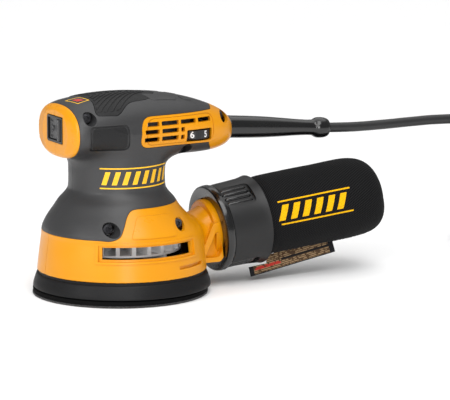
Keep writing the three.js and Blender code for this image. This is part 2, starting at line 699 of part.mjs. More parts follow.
// Cloth bag as a plain thin shell, open at its mouth round the mouth ring.
const BAG_LENGTH = 135;
piece("dust_bag", onOutlet(turned([
  [24.4, 40.6], [27.9, 47], [27.9, 112], [25.8, 127.6], [0, BAG_LENGTH - 1.2], [0, BAG_LENGTH], [26.6, 129],
  [29.2, 113], [29.2, 46], [26.6, 34.6], [24.4, 34.6],
], 20)), CLOTH);
const tagOutline = outline([[29.9, 36.5], [29.9, 94], [36.6, 93], [40.9, 22.2], [33.6, 24], [33.2, 35.2]]);
piece("bag_tag", onOutlet(sidePrism(tagOutline, -0.3, 0.3).rotate([0, 0, -17])), LABEL);

// ---- lead: strain relief, clamp, cord, coil and plug ----

piece("strain_relief", strainAxis(turned([
  [0, -8.3], [10.2, -8.3], [10.2, -5.2], [7.9, -5.2], [7.9, 2], [8.2, 3], [8, 20], [7.2, 42], [5.7, 64],
  [5.7, 72.6], [7.5, 75], [7.5, 83], [5, 86], [0, 86],
], 12)), BLACK);
piece("cord_clamp", cut(box(64, 71, -9, 9, 107.4, 119.4), box(60, 80, -7, 7, 110, 116.6)), BLACK);

// A round tube along a curve.
function tube(radius, points, steps, curveSegments) {
  const section = new THREE.Shape();
  section.absarc(0, 0, radius, 0, Math.PI * 2);
  const route = new THREE.CatmullRomCurve3(points.map(([x, y, z]) => new THREE.Vector3(x, y, z)));
  return solid(new THREE.ExtrudeGeometry(section, { steps, curveSegments, extrudePath: route }));
}

// The two cores of the lead, from the clamp over the motor to the switch.
for (const [side, label] of [[-1, "live"], [1, "neutral"]]) {
  const sideView = [
    [66, 113.5], [60, 117], [55, 126.5], [40, 129.2], [20, 130.3], [-8, 129], [-20, 123], [-23, 122],
  ];
  const route = sideView.map(([x, z]) => [x, side * (x > 60 ? 2.4 : 6), z]);
  piece(`lead_${label}`, tube(1.1, route, 12, 3), BLACK);
}

// Free part of the lead: level off the relief, then down on to its coil.
const CORD_ROUTE = [
  [167.9, 0, 106], [190, 0, 105], [215, 0, 105], [240, 0, 105.4], [262, 0, 105.4], [284, 0, 103.4],
  [299, 0, 97], [310, 0, 86], [316, 0, 72], [319.5, 0, 56], [325, 0, 42], [334, 0, 32.5], [345, 0, 28],
];
const COIL = { x: 362, y: 33, inner: 29.4, outer: 51, low: 1.1, high: 22.9 };
const TAIL_X = 314.6;
const TAIL = [[6.2, 4.7], [-1, 5.2], [-8, 7.4], [-14, 8.5], [-18.9, 8.5]].map(([y, z]) => [TAIL_X, y, z]);
const PLUG = { x: TAIL_X, y: -19.2, z: 8.5, length: 38 };

piece("mains_cord", tube(CORD_R, CORD_ROUTE, 20, 5), BLACK);
piece("cord_coil", ring(COIL.inner, COIL.outer, COIL.low, COIL.high, 24, COIL.x, COIL.y), BLACK);
piece("cord_tie", cut(
  box(COIL.x + 27.4, COIL.x + 52.3, COIL.y - 4, COIL.y + 4, 0, COIL.high + 1.1),
  box(COIL.x + 28.3, COIL.x + 51.4, COIL.y - 9, COIL.y + 9, COIL.low - GAP, COIL.high + GAP),
), BLACK);
piece("cord_tail", tube(CORD_R, TAIL, 5, 5), BLACK);

function plug() {
  const end = PLUG.y - PLUG.length;
  const shape = new THREE.Shape();
  shape.moveTo(PLUG.x - 5.4, PLUG.y);
  shape.lineTo(PLUG.x + 5.4, PLUG.y);
  shape.quadraticCurveTo(PLUG.x + 6, PLUG.y - 12, PLUG.x + 12, PLUG.y - 20);
  shape.lineTo(PLUG.x + 12.5, end);
  shape.lineTo(PLUG.x - 12.5, end);
  shape.lineTo(PLUG.x - 12, PLUG.y - 20);
  shape.quadraticCurveTo(PLUG.x - 6, PLUG.y - 12, PLUG.x - 5.4, PLUG.y);
  return upPrism(shape, 0.3, 16.7, 4);
}

piece("plug_body", plug(), BLACK);
for (const [side, label] of [[-1, "a"], [1, "b"]]) {
  const x = PLUG.x + side * 6.35;
  const start = PLUG.y - PLUG.length - GAP;
  const blade = box(x - 0.75, x + 0.75, start - 16, start, PLUG.z - 3.2, PLUG.z + 3.2);
  piece(`plug_blade_${label}`, blade, BRASS);
}

export default root;
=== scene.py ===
"""Looks of a palm-grip random-orbit sander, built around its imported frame.

Shapes are drawn in millimetres in the frame's axes and turned into metres as each object is made.
The handle, bell and outlet are one smooth field, so that their blends, offsets and shading agree.
"""

import json
import math

import bmesh
import bpy
import numpy as np
from mathutils import Matrix, Vector


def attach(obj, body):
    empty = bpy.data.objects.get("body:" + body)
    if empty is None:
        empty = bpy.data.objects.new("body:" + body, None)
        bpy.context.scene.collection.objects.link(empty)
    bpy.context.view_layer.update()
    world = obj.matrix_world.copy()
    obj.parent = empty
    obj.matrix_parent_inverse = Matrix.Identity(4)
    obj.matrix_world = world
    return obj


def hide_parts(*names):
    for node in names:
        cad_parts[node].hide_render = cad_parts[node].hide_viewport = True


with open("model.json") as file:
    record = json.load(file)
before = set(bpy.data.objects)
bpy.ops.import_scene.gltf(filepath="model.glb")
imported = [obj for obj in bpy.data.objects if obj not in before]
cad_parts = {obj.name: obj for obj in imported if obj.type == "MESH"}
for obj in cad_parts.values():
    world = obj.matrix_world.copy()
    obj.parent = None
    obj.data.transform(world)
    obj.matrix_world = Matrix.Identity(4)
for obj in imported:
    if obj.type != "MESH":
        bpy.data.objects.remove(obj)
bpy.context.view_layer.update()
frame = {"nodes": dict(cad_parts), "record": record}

MM = 0.001


def placed(name, data):
    """A new object in the scene."""
    made = bpy.data.objects.new(name, data)
    bpy.context.scene.collection.objects.link(made)
    return made


# ---- camera ----

VIEW_TURN = math.radians(26)  # camera stands this far round towards -X from -Y
VIEW_YAW = math.radians(1.73)
VIEW_PITCH = math.radians(9.93)
VIEW_DISTANCE = 2434
VIEW_HEIGHT = 491.8
LENS = 278.1


def make_camera():
    data = bpy.data.cameras.new("camera")
    data.lens = LENS
    data.sensor_width = 36
    data.clip_end = 20
    camera = placed("camera", data)
    heading = VIEW_TURN + VIEW_YAW
    forward = Vector((math.sin(heading), math.cos(heading), -math.tan(VIEW_PITCH)))
    place = Vector((-math.sin(VIEW_TURN) * VIEW_DISTANCE, -math.cos(VIEW_TURN) * VIEW_DISTANCE, VIEW_HEIGHT))
    camera.location = place * MM
    camera.rotation_euler = forward.to_track_quat("-Z", "Y").to_euler()
    bpy.context.scene.camera = camera


make_camera()

# ---- the lead: route and tail follow part.mjs, and the coil is wound within the ring there ----

CORD_R = 3.6
CORD_ROUTE = [
    (166.6, 0, 106.1), (190, 0, 105), (215, 0, 105), (240, 0, 105.4), (262, 0, 105.4), (284, 0, 103.4),
    (299, 0, 97), (310, 0, 86), (316, 0, 72), (319.5, 0, 56), (325, 0, 42), (334, 0, 32.5),
]
COIL = (362, 33)
TAIL = [
    (314.6, 14, 4.7), (314.6, 6, 4.8), (314.6, -1, 5.2), (314.6, -8, 7.4), (314.6, -14, 8.5),
    (314.6, -20.5, 8.5),
]
COIL_ANGLES = range(255, 3050, 15)
COIL_START = (37.1, 28)  # radius and level
# Where the winding steps: (angle from, to, radius after, level after)
COIL_STEPS = [
    (243, 343, 33, 19.3), (538, 638, 40.2, 19.3), (898, 998, 47.4, 19.3), (1195, 1290, 47.4, 12.0),
    (1510, 1610, 40.2, 12.0), (1870, 1970, 33, 12.0), (2190, 2285, 33, 4.7), (2480, 2580, 40.2, 4.7),
    (2840, 2940, 47.4, 4.7),
]


def clamped(t):
    return min(1, max(0, t))


def ease(t):
    t = clamped(t)
    return t * t * (3 - 2 * t)


def coil_points():
    """Turns lie side by side in three layers, and step across one at a time."""
    points = []
    for angle in COIL_ANGLES:
        radius, level = COIL_START
        for begin, end, radius_after, level_after in COIL_STEPS:
            share = ease((angle - begin) / (end - begin))
            radius += (radius_after - radius) * share
            level += (level_after - level) * share
        turn = math.radians(angle)
        points.append((COIL[0] + radius * math.cos(turn), COIL[1] + radius * math.sin(turn), level))
    return points


def make_cord():
    curve = bpy.data.curves.new("lead", "CURVE")
    curve.dimensions = "3D"
    curve.bevel_depth = 1  # each point's radius scales it, so the curve's box is true
    curve.bevel_resolution = 4
    curve.resolution_u = 4
    curve.use_fill_caps = True
    points = [*CORD_ROUTE, *coil_points(), *TAIL]
    spline = curve.splines.new("BEZIER")
    spline.bezier_points.add(len(points) - 1)
    for place, point in zip(points, spline.bezier_points):
        point.co = Vector(place) * MM
        point.radius = CORD_R * MM
        point.handle_left_type = point.handle_right_type = "AUTO"
    return placed("lead", curve)


lead = make_cord()
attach(lead, "housing")
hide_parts("mains_cord", "cord_coil", "cord_tail")

# ---- mesh helpers ----


def mesh_object(name, points, faces):
    data = bpy.data.meshes.new(name)
    data.from_pydata((np.asarray(points, float) * MM).tolist(), [], [list(map(int, f)) for f in faces])
    data.validate()
    return placed(name, data)


def outward(made):
    """Turns the faces of a closed mesh to point out."""
    bm = bmesh.new()
    bm.from_mesh(made.data)
    bmesh.ops.recalc_face_normals(bm, faces=bm.faces)
    bm.to_mesh(made.data)
    bm.free()
    return made


def skinned(name, rings, closed_along=False):
    """A closed body through rings of equally many points."""
    rings = [np.asarray(ring, float) for ring in rings]
    around = len(rings[0])
    points = np.vstack(rings)
    faces = []
    for k in range(len(rings) if closed_along else len(rings) - 1):
        a, b = k * around, ((k + 1) % len(rings)) * around
        faces += [(a + i, a + (i + 1) % around, b + (i + 1) % around, b + i) for i in range(around)]
    if not closed_along:
        faces += [tuple(range(around))[::-1], tuple(range(len(points) - around, len(points)))]
    return outward(mesh_object(name, points, faces))


def skin_of_grid(name, face, back):
    """A closed body between two grids of points."""
    high, wide = face.shape[:2]
    count = high * wide
    faces = []
    for i in range(high - 1):
        for k in range(wide - 1):
            a = i * wide + k
            quad = (a, a + 1, a + wide + 1, a + wide)
            faces += [quad, tuple(v + count for v in quad[::-1])]
    edge = [*range(wide), *range(2 * wide - 1, count, wide), *range(count - 2, count - wide - 1, -1),
            *range(count - 2 * wide, 0, -wide)]
    faces += [(a, b, b + count, a + count) for a, b in zip(edge, [*edge[1:], edge[0]])]
    return outward(mesh_object(name, np.vstack([face.reshape(-1, 3), back.reshape(-1, 3)]), faces))


def full_turn(count):
    """Angles spread evenly round a circle."""
    return np.arange(count) / count * 2 * np.pi


def lathe(name, profile, around=96, x=0.0, y=0.0, close=True):
    """A body turned about a vertical axis, from [radius, z] pairs that close on themselves or are capped."""
    turn = full_turn(around)
    rings = [np.c_[x + r * np.cos(turn), y + r * np.sin(turn), np.full(around, z)] for r, z in profile]
    return skinned(name, rings, closed_along=close)


def disc(name, radius, z0, z1, around=48, x=0.0, y=0.0):
    return lathe(name, [(radius, z0), (radius, z1)], around, x, y, close=False)


def prism(name, outline, axis, low, high):
    """An outline carried along an axis: 'y' takes (x, z) points, 'z' takes (x, y), 'x' takes (y, z)."""
    flat = np.asarray(outline, float)
    return skinned(name, [np.insert(flat, "xyz".index(axis), level, axis=1) for level in (low, high)])


def block(name, x0, x1, y0, y1, z0, z1):
    return prism(name, [(x0, y0), (x1, y0), (x1, y1), (x0, y1)], "z", z0, z1)


def rounded(u0, v0, u1, v1, r, steps=8):
    """A rectangle with round corners."""
    corners = ((u1 - r, v0 + r, -90), (u1 - r, v1 - r, 0), (u0 + r, v1 - r, 90), (u0 + r, v0 + r, 180))
    points = []
    for cu, cv, begin in corners:
        for k in range(steps + 1):
            turn = math.radians(begin + 90 * k / steps)
            points.append((cu + r * math.cos(turn), cv + r * math.sin(turn)))
    return points


def sector(inner, outer, begin, end):
    """Part of a ring between two angles."""
    step = 2.0
    turn = np.radians(np.linspace(begin, end, max(2, int(abs(end - begin) / step) + 1)))
    out = np.c_[outer * np.cos(turn), outer * np.sin(turn)]
    back = np.c_[inner * np.cos(turn[::-1]), inner * np.sin(turn[::-1])]
    return np.vstack([out, back])


def copied(made, name="copy"):
    return placed(name, made.data.copy())


def drop(*objects):
    for o in objects:
        bpy.data.objects.remove(o)


def evaluated(made):
    """The mesh that an object's modifiers or curve give."""
    graph = bpy.context.evaluated_depsgraph_get()
    return bpy.data.meshes.new_from_object(made.evaluated_get(graph))


def apply_modifiers(made):
    result = evaluated(made)
    made.modifiers.clear()
    made.data = result


def combine(base, kind, *tools, keep=False):
    """Joins, cuts or intersects closed meshes; the tools are used up unless kept."""
    for tool in tools:
        step = base.modifiers.new("step", "BOOLEAN")
        step.operation = kind
        step.solver = "MANIFOLD"
        step.object = tool
    apply_modifiers(base)
    if not keep:
        drop(*tools)
    return base


def cut(base, *tools, keep=False):
    return combine(base, "DIFFERENCE", *tools, keep=keep)


def join(base, *tools):
    return combine(base, "UNION", *tools)


def meet(base, *tools):
    return combine(base, "INTERSECT", *tools)


def moved(made, place=(0, 0, 0), degrees=0, axis="Z"):
    """Turns a body about an axis through the origin, then moves it."""
    turn = Matrix.Rotation(math.radians(degrees), 4, axis)
    made.data.transform(Matrix.Translation(Vector(place) * MM) @ turn)
    return made


def laid_along_y(made, x, y, z):
    """Turns a body drawn about +z to point along +y, then moves it."""
    made.data.transform(Matrix(((1, 0, 0, x * MM), (0, 0, 1, y * MM), (0, -1, 0, z * MM), (0, 0, 0, 1))))
    return made


def mirrored(made, name):
    twin = copied(made, name)
    twin.data.transform(Matrix.Scale(-1, 4, Vector((0, 1, 0))))
    twin.data.flip_normals()
    return twin


# ---- outer form ----

# x, bottom, top, half width
GRIP_ROWS = np.array([
    [-51.6, 103.4, 133.9, 20], [-50.7, 101.6, 135.7, 28.5], [-48, 100.6, 138, 33.2],
    [-38, 100.3, 140.8, 35.2], [-15, 99.7, 143.2, 36], [10, 98.8, 143, 35.5], [34, 97.8, 140.8, 34],
    [52, 97.6, 136.8, 31], [66, 98.5, 132, 26.5], [75, 100.6, 127.6, 21.3], [80, 103.2, 123.6, 16],
    [81.8, 105, 121.2, 12.5],
])
GRIP_SQUARE = 2.4  # exponent of the handle's section, 2 for an ellipse
GRIP_MIDDLE = 0.47  # where the handle is widest, from its bottom to its top
NECK_X, NECK_R = -3.84, 34.35
# z, radius, centre, how far the back is drawn out
BELL_ROWS = np.array([
    [17.5, 60.4, 0, 0], [31, 58.9, 0, 0], [43, 57.3, 0, 0], [46.5, 56.5, -0.7, 0], [50, 54.5, -1.9, 0],
    [56, 50, -3.5, 0], [62, 45.3, -4.1, 0], [68, 41.3, -4, 0], [73, 36.8, -3.9, 0], [77, 34.7, NECK_X, 0],
    [91, NECK_R, NECK_X, 0.4], [96, 34.5, NECK_X, 3], [105, 34.6, NECK_X, 13], [115, 33.6, NECK_X, 14],
])
OUTLET = np.array([71.6, 0, 39.5])
OUTLET_TILT = math.radians(6.5)
ALONG = np.array([math.cos(OUTLET_TILT), 0, math.sin(OUTLET_TILT)])
ABOVE = np.array([-math.sin(OUTLET_TILT), 0, math.cos(OUTLET_TILT)])
# place along the outlet's axis, half width, height above it, depth below it
DUCT_ROWS = np.array([[-32, 30, 17, 16], [-20, 21, 14, 17], [-6, 18.5, 18, 19.5], [-4.4, 20, 20, 20]])
BELL_BLEND, DUCT_BLEND = 9, 5
LEAST_SHARE = 1e-3


def rows_at(rows, at):
    """The table's columns, smoothly between its rows."""
    at = np.clip(at, rows[0, 0], rows[-1, 0])
    i = np.clip(np.searchsorted(rows[:, 0], at), 1, len(rows) - 1)
    p0, p1, p2, p3 = (rows[np.clip(k, 0, len(rows) - 1)] for k in (i - 2, i - 1, i, i + 1))
    span = (p2[:, 0] - p1[:, 0])[:, None]
    t = (at[:, None] - p1[:, :1]) / span
    m1 = span * (p2 - p0) / (p2[:, :1] - p0[:, :1])
    m2 = span * (p3 - p1) / (p3[:, :1] - p1[:, :1])
    rise = t * t * (3 - 2 * t)
    found = (1 - rise) * p1 + rise * p2 + t * (1 - t) * ((1 - t) * m1 - t * m2)
    return found.T[1:]


def row_at(rows, at):
    return [column[0] for column in rows_at(rows, np.array([at]))]


def blended(a, b, reach):
    """The nearer of two distances, rounded where they meet."""
    h = np.clip(0.5 + 0.5 * (b - a) / reach, 0, 1)
    return b + (a - b) * h - reach * h * (1 - h)


def section_field(away, share, at, rows):
    """Distance to a section whose edge lies at away / share, closed off at the table's ends."""
    ends = np.maximum(rows[0, 0] - at, at - rows[-1, 0])
    return np.maximum(away - away / np.maximum(share, LEAST_SHARE), ends)


def grip_field(p):
    bottom, top, half = rows_at(GRIP_ROWS, p[:, 0])
    middle = bottom + GRIP_MIDDLE * (top - bottom)
    rise = p[:, 2] - middle
    height = np.where(rise > 0, top - middle, middle - bottom)
    wide, tall = np.abs(p[:, 1] / half), np.abs(rise / height)
    share = (wide**GRIP_SQUARE + tall**GRIP_SQUARE) ** (1 / GRIP_SQUARE)
    return section_field(np.hypot(p[:, 1], rise), share, p[:, 0], GRIP_ROWS)


def bell_field(p):
    radius, centre, drawn = rows_at(BELL_ROWS, p[:, 2])
    x, y = p[:, 0] - centre, p[:, 1]
    back = np.ones(len(p))
    for _ in range(4):
        turn = np.arctan2(y * back, x)
        back = 1 + drawn * np.maximum(0, np.cos(turn)) / radius
    return section_field(np.hypot(x, y), np.hypot(x / back, y) / radius, p[:, 2], BELL_ROWS)


def duct_field(p):
    local = p - OUTLET
    s, rise = local @ ALONG, local @ ABOVE
    half, up, down = rows_at(DUCT_ROWS, s)
    height = np.where(rise > 0, up, down)
    return section_field(np.hypot(p[:, 1], rise), np.hypot(p[:, 1] / half, rise / height), s, DUCT_ROWS)


def form_field(p):
    """Distance in mm to the outer surface of handle, bell and outlet, negative inside."""
    return blended(blended(grip_field(p), bell_field(p), BELL_BLEND), duct_field(p), DUCT_BLEND)


def slope(p):
    step = 0.05
    grad = np.empty_like(p)
    for k in range(3):
        shift = np.zeros(3)
        shift[k] = step
        grad[:, k] = (form_field(p + shift) - form_field(p - shift)) / (2 * step)
    return grad


def settled(p, level):
    """Points moved on to the surface at that distance from the form."""
    longest, least_slope = 1.5, 0.2
    for _ in range(5):
        grad = slope(p)
        move = (form_field(p) - level)[:, None] * grad / np.maximum((grad**2).sum(1), least_slope)[:, None]
        length = np.maximum(np.linalg.norm(move, axis=1), 1e-9)[:, None]
        p = p - move * np.minimum(1, longest / length)
    return p


def unit(v):
    return v / np.maximum(np.linalg.norm(v, axis=1), 1e-9)[:, None]


def grip_rough(inset):
    """The handle alone, roughly; form() settles it. The same goes for the next two."""
    turn = full_turn(96)
    c = np.sign(np.cos(turn)) * np.abs(np.cos(turn)) ** (2 / GRIP_SQUARE)
    s = np.sign(np.sin(turn)) * np.abs(np.sin(turn)) ** (2 / GRIP_SQUARE)
    rings = []
    for x in np.linspace(GRIP_ROWS[0, 0] + inset, GRIP_ROWS[-1, 0] - inset, 60):
        bottom, top, half = row_at(GRIP_ROWS, x)
        middle = bottom + GRIP_MIDDLE * (top - bottom)
        height = np.where(s > 0, top - middle, middle - bottom) - inset
        rings.append(np.c_[np.full_like(turn, x), c * (half - inset), middle + s * height])
    return skinned("grip_rough", rings)


def bell_rough(inset):
    turn = full_turn(128)
    rings = []
    for z in np.linspace(BELL_ROWS[0, 0] + inset, BELL_ROWS[-1, 0], 60):
        radius, centre, drawn = row_at(BELL_ROWS, z)
        back = 1 + drawn * np.maximum(0, np.cos(turn)) / radius
        x = centre + (radius - inset) * np.cos(turn) * back
        rings.append(np.c_[x, (radius - inset) * np.sin(turn), np.full_like(turn, z)])
    return skinned("bell_rough", rings)


def on_outlet(made):
    """Moves a body drawn about +z, with z = 0 at the rim plane, on to the outlet axis."""
    turn = np.eye(4)
    turn[:3, 0], turn[:3, 1], turn[:3, 2] = -ABOVE, (0, 1, 0), ALONG
    turn[:3, 3] = OUTLET * MM
    made.data.transform(Matrix(turn.tolist()))
    return made


def duct_rough(inset):
    turn = full_turn(64)
    rings = []
    for s in np.linspace(DUCT_ROWS[0, 0], DUCT_ROWS[-1, 0] - inset, 16):
        half, up, down = row_at(DUCT_ROWS, s)
        rise = np.where(np.cos(turn) > 0, up, down) - inset
        rings.append(np.c_[-rise * np.cos(turn), (half - inset) * np.sin(turn), np.full_like(turn, s)])
    return on_outlet(skinned("duct_rough", rings))


def read(items, key, width=1, kind=float):
    """An attribute of all items, as an array with a row for each."""
    values = np.empty(len(items) * width, kind)
    items.foreach_get(key, values)
    return values.reshape(-1, width) if width > 1 else values


def form(level, voxel):
    """The whole form as a closed mesh at a distance from its surface."""
    made = join(grip_rough(-level), bell_rough(-level), duct_rough(-level))
    made.name = "form"
    remesh = made.modifiers.new("remesh", "REMESH")
    remesh.mode = "VOXEL"
    remesh.voxel_size = voxel * MM
    apply_modifiers(made)
    p = settled(read(made.data.vertices, "co", 3) / MM, level)
    made.data.vertices.foreach_set("co", (p * MM).ravel())
    made.data.update()
    return made


ON_FORM = 0.93  # a face's direction times the form's, above which the face counts as the form's own


def shaded(made, angle=32, on_form=False):
    """Smooth shading with sharp edges; on the form's own surface, the form's exact direction."""
    data = made.data
    bm = bmesh.new()
    bm.from_mesh(data)
    limit = math.radians(angle)
    for edge in bm.edges:
        edge.smooth = len(edge.link_faces) == 2 and edge.calc_face_angle(0) < limit
    for face in bm.faces:
        face.smooth = True
    bm.to_mesh(data)
    bm.free()
    if not on_form:
        return made
    exact = unit(slope(read(data.vertices, "co", 3) / MM))[read(data.loops, "vertex_index", kind=np.int32)]
    corner = read(data.corner_normals, "vector", 3)
    sizes = read(data.polygons, "loop_total", kind=np.int32)
    flat = np.repeat(read(data.polygons, "normal", 3), sizes, axis=0)
    near = ((flat * exact).sum(1) > ON_FORM)[:, None]
    data.normals_split_custom_set(np.where(near, exact, corner).astype(np.float32))
    return made


# ---- outlines and zones ----

SCREW_GAP = 0.3  # a screw's head lies this far below its recess floor
CORNER_STEPS = 5


def soft_corners(points, radius):
    """An outline with its corners rounded."""
    points = [np.array(p, float) for p in points]
    out = []
    for before, corner, after in zip([points[-1], *points], points, [*points[1:], points[0]]):
        a, b = before - corner, after - corner
        reach = min(radius, np.linalg.norm(a) * 0.49, np.linalg.norm(b) * 0.49)
        start, end = corner + a / np.linalg.norm(a) * reach, corner + b / np.linalg.norm(b) * reach
        for k in range(CORNER_STEPS + 1):
            t = k / CORNER_STEPS
            out.append((1 - t) ** 2 * start + 2 * t * (1 - t) * corner + t**2 * end)
    return np.array(out)


def grown(points, by):
    """An outline moved outward from its middle."""
    points = np.asarray(points, float)
    middle = points.mean(0)
    away = points - middle
    return middle + away * (1 + by / np.linalg.norm(away, axis=1)[:, None])


def smooth_line(points, steps=6):
    """A smooth line through points."""
    p = np.asarray(points, float)
    p = np.vstack([2 * p[0] - p[1], p, 2 * p[-1] - p[-2]])
    out = []
    for k in range(1, len(p) - 2):
        for t in np.arange(steps) / steps:
            out.append(0.5 * (2 * p[k] + (p[k + 1] - p[k - 1]) * t
                              + (2 * p[k - 1] - 5 * p[k] + 4 * p[k + 1] - p[k + 2]) * t**2
                              + (3 * p[k] - p[k - 1] - 3 * p[k + 1] + p[k + 2]) * t**3))
    return np.vstack([out, p[-2]])


def base_zone(grow):
    """The zones' outlines are grown where the rubber leaves a gap beside the plastic."""
    step = smooth_line([
        (-8, 66.4), (-13, 65.4), (-17, 61.5), (-21.5, 54.3), (-25.5, 48.8), (-31.5, 46.2), (-38, 46.4),
    ]) + [-grow * 0.7, grow * 0.7]
    outline = [(-90, 5), (110, 5), (110, 66.4 + grow), *step, (-90, 46.4 + grow)]
    return prism("base_zone", outline, "y", -80, 80)


def vent_zone(grow):
    outline = [(-3 - grow, 108.2 - grow), (70, 107.6 - grow), (70, 129.8 + grow), (-grow, 129.8 + grow)]
    outline = soft_corners(outline, 7)
    return join(prism("vent_zone", outline, "y", -80, -18), prism("vent_zone", outline, "y", 18, 80))


def rear_zone(grow):
    edge = [(66 - 0.0135 * y * y - grow, y) for y in range(40, -41, -4)]
    return prism("rear_zone", [*edge, (100, -40), (100, 40)], "z", 90, 150)


def yellow_zones(grow):
    front = block("front", -60, -48 + grow, -50, 50, 90, 150)
    return join(base_zone(grow), vent_zone(grow), rear_zone(grow), front)


def palm_outline(grow):
    half = [(-30 - grow, 16), (-34.4 - grow, 31), (-17, 32.8 + grow), (-5, 23.5 + grow), (11, 20.5 + grow)]
    tail = [(24 + grow, 4), (24 + grow, -4)]
    return soft_corners(half + tail + [(x, -y) for x, y in half[::-1]], 4)


SWITCH = (-47.5, 120.6)  # x and z of the rocker's middle
ROCKER_TALL = 7.4  # half its height
DIAL = (46, -19.5)
DIAL_R = 12.5
DIAL_LOW, DIAL_HIGH = 110.5, 117.1

# ---- screws ----

# x, z, y of the recess floor, radius of the recess
SCREWS = {
    "front_top": (-39.3, 130.6, -23, 4.6),
    "rear_top": (71.5, 123.5, -9, 4.2),
    "front_base": (-29.5, 53.5, -36, 5.2),
    "rear_base": (24, 53.5, -38, 4.4),
    "grip_under": (38, 103.2, -13, 4.4),
}


def cross_rod(name, radius, x, z, y0, y1):
    return laid_along_y(disc(name, radius, y0, y1, 40), x, 0, z)


def screw_recesses():
    return [cross_rod("recess", radius, x, z, -75, floor) for x, z, floor, radius in SCREWS.values()]


def make_screws():
    """Domed heads with a six-pointed recess."""
    for name, (x, z, floor, _) in SCREWS.items():
        seat = floor - SCREW_GAP
        made = cross_rod("head", 3.4, x, z, seat - 2.2, seat)
        join(made, cross_rod("dome", 2.7, x, z, seat - 2.6, seat - 1))
        for k in range(3):
            arm = moved(block("arm", -0.55, 0.55, -1.9, 1.9, -1.3, 0), degrees=60 * k + 15)
            cut(made, laid_along_y(arm, x, seat - 1.4, z))
        made.name = f"screw_{name}"
        finish(made, "dark_steel", "housing", [f"housing_screw_{name}"])


# ---- node materials ----


def feed(tree, node, inputs):
    """Links or sets a node's inputs."""
    for key, value in inputs.items():
        if isinstance(value, bpy.types.NodeSocket):
            tree.links.new(value, node.inputs[key])
        else:
            node.inputs[key].default_value = value
    return node


def add(tree, kind, inputs=None, **settings):
    node = tree.nodes.new("ShaderNode" + kind)
    for key, value in settings.items():
        setattr(node, key, value)
    return feed(tree, node, inputs or {})


def calc(tree, operation, a, b=0.0):
    return add(tree, "Math", {0: a, 1: b}, operation=operation).outputs[0]


def times(tree, a, b):
    return calc(tree, "MULTIPLY", a, b)


def mixed(tree, share, a, b):
    return add(tree, "Mix", {"Factor": share, 6: a, 7: b}, data_type="RGBA").outputs[2]


def spread(tree, value, low, high, low_out=0.0, high_out=1.0):
    """A value between two limits, carried over to two other limits."""
    ends = {"From Min": low, "From Max": high, "To Min": low_out, "To Max": high_out}
    return add(tree, "MapRange", {"Value": value, **ends}).outputs[0]


def tone(colour, gain):
    return (*(min(1, c * gain) for c in colour[:3]), 1)


def start_material(name):
    made = bpy.data.materials.new(name)
    made.use_nodes = True
    tree = made.node_tree
    return made, tree, tree.nodes["Principled BSDF"]


def noise(tree, scale, detail):
    where = add(tree, "TexCoord").outputs["Object"]
    return add(tree, "TexNoise", {"Vector": where, "Scale": scale, "Detail": detail}).outputs["Fac"]


def bumped(tree, height, strength, distance, **more):
    inputs = {"Height": height, "Strength": strength, "Distance": distance, **more}
    return add(tree, "Bump", inputs).outputs[0]


def moulded(name, colour, roughness, grain=1400, depth=0.12, edge=0.35, wear=1.25, metal=0.0, coat=0.0,
            mottle=0.07, shine=0.5):
    """Moulded, turned or sprayed stuff: fine grain, faint mottling, rubbed edges and a soft edge radius."""
    made, tree, shader = start_material(name)
    broad = noise(tree, 22, 5)
    base = mixed(tree, spread(tree, broad, 0.3, 0.7), tone(colour, 1 - mottle), tone(colour, 1 + mottle))
    rubbed = spread(tree, add(tree, "NewGeometry").outputs["Pointiness"], 0.53, 0.6)
    smudge = times(tree, rubbed, noise(tree, 90, 4))
    soft = add(tree, "Bevel", {"Radius": edge * MM}, samples=4).outputs[0]
    feed(tree, shader, {
        "Base Color": mixed(tree, smudge, base, tone(colour, wear)),
        "Roughness": spread(tree, noise(tree, 40, 6), 0.3, 0.7, roughness - 0.05, roughness + 0.07),
        "Normal": bumped(tree, noise(tree, grain, 2), depth, 0.0004, Normal=soft),
        "Metallic": metal, "Specular IOR Level": shine, "Coat Weight": coat, "Coat Roughness": 0.12,
    })
    return made


def felt(name, colour):
    """Short hook pile, fuzzy at its edge."""
    made, tree, shader = start_material(name)
    fine = noise(tree, 2600, 6)
    tufts = noise(tree, 420, 4)
    base = mixed(tree, spread(tree, fine, 0.35, 0.65), tone(colour, 0.35), tone(colour, 1.9))
    feed(tree, shader, {
        "Base Color": mixed(tree, spread(tree, tufts, 0.4, 0.7, 0, 0.5), base, tone(colour, 2.6)),
        "Normal": bumped(tree, fine, 0.9, 0.0012), "Roughness": 0.95, "Sheen Weight": 0.35,
    })
    return made


def woven(name, colour, paint, pitch=1.7):
    """Twill cloth: slanted threads over its own width and length, in mm in the UV map, under its print."""
    # how strong the painted shade in the weave's valleys and the painted highlight on its thread tops are
    thread_shade = 0.85
    made, tree, shader = start_material(name)
    uv = add(tree, "SeparateXYZ", {0: add(tree, "UVMap").outputs[0]})
    across, down = uv.outputs[0], uv.outputs[1]
    slant = calc(tree, "ADD", across, times(tree, down, 0.5))
    ribs = calc(tree, "SINE", times(tree, slant, 2 * math.pi / pitch))
    cross = calc(tree, "SINE", times(tree, down, 2 * math.pi / (pitch * 0.8)))
    height = calc(tree, "ADD", times(tree, ribs, 0.6), times(tree, cross, 0.4))
    level = spread(tree, height, -1, 1)
    dust = spread(tree, noise(tree, 60, 6), 0.45, 0.75, 0, 0.35)
    # painted shade in the valleys between threads and a painted highlight on their tops, following the
    # weave's height as the bump does
    base = mixed(tree, level, tone(colour, 1 - thread_shade), tone(colour, 1 + 3.5 * thread_shade))
    base = mixed(tree, dust, base, tone(colour, 1.9))
    feed(tree, shader, {
        "Base Color": paint(tree, across, down, base), "Normal": bumped(tree, level, 0.8, 0.0004),
        "Roughness": 0.88, "Specular IOR Level": 0.08, "Sheen Weight": 0.03, "Sheen Roughness": 0.4,
    })
    return made


def inside(tree, value, low, high):
    """1 where a value lies between two limits."""
    return times(tree, calc(tree, "GREATER_THAN", value, low), calc(tree, "LESS_THAN", value, high))


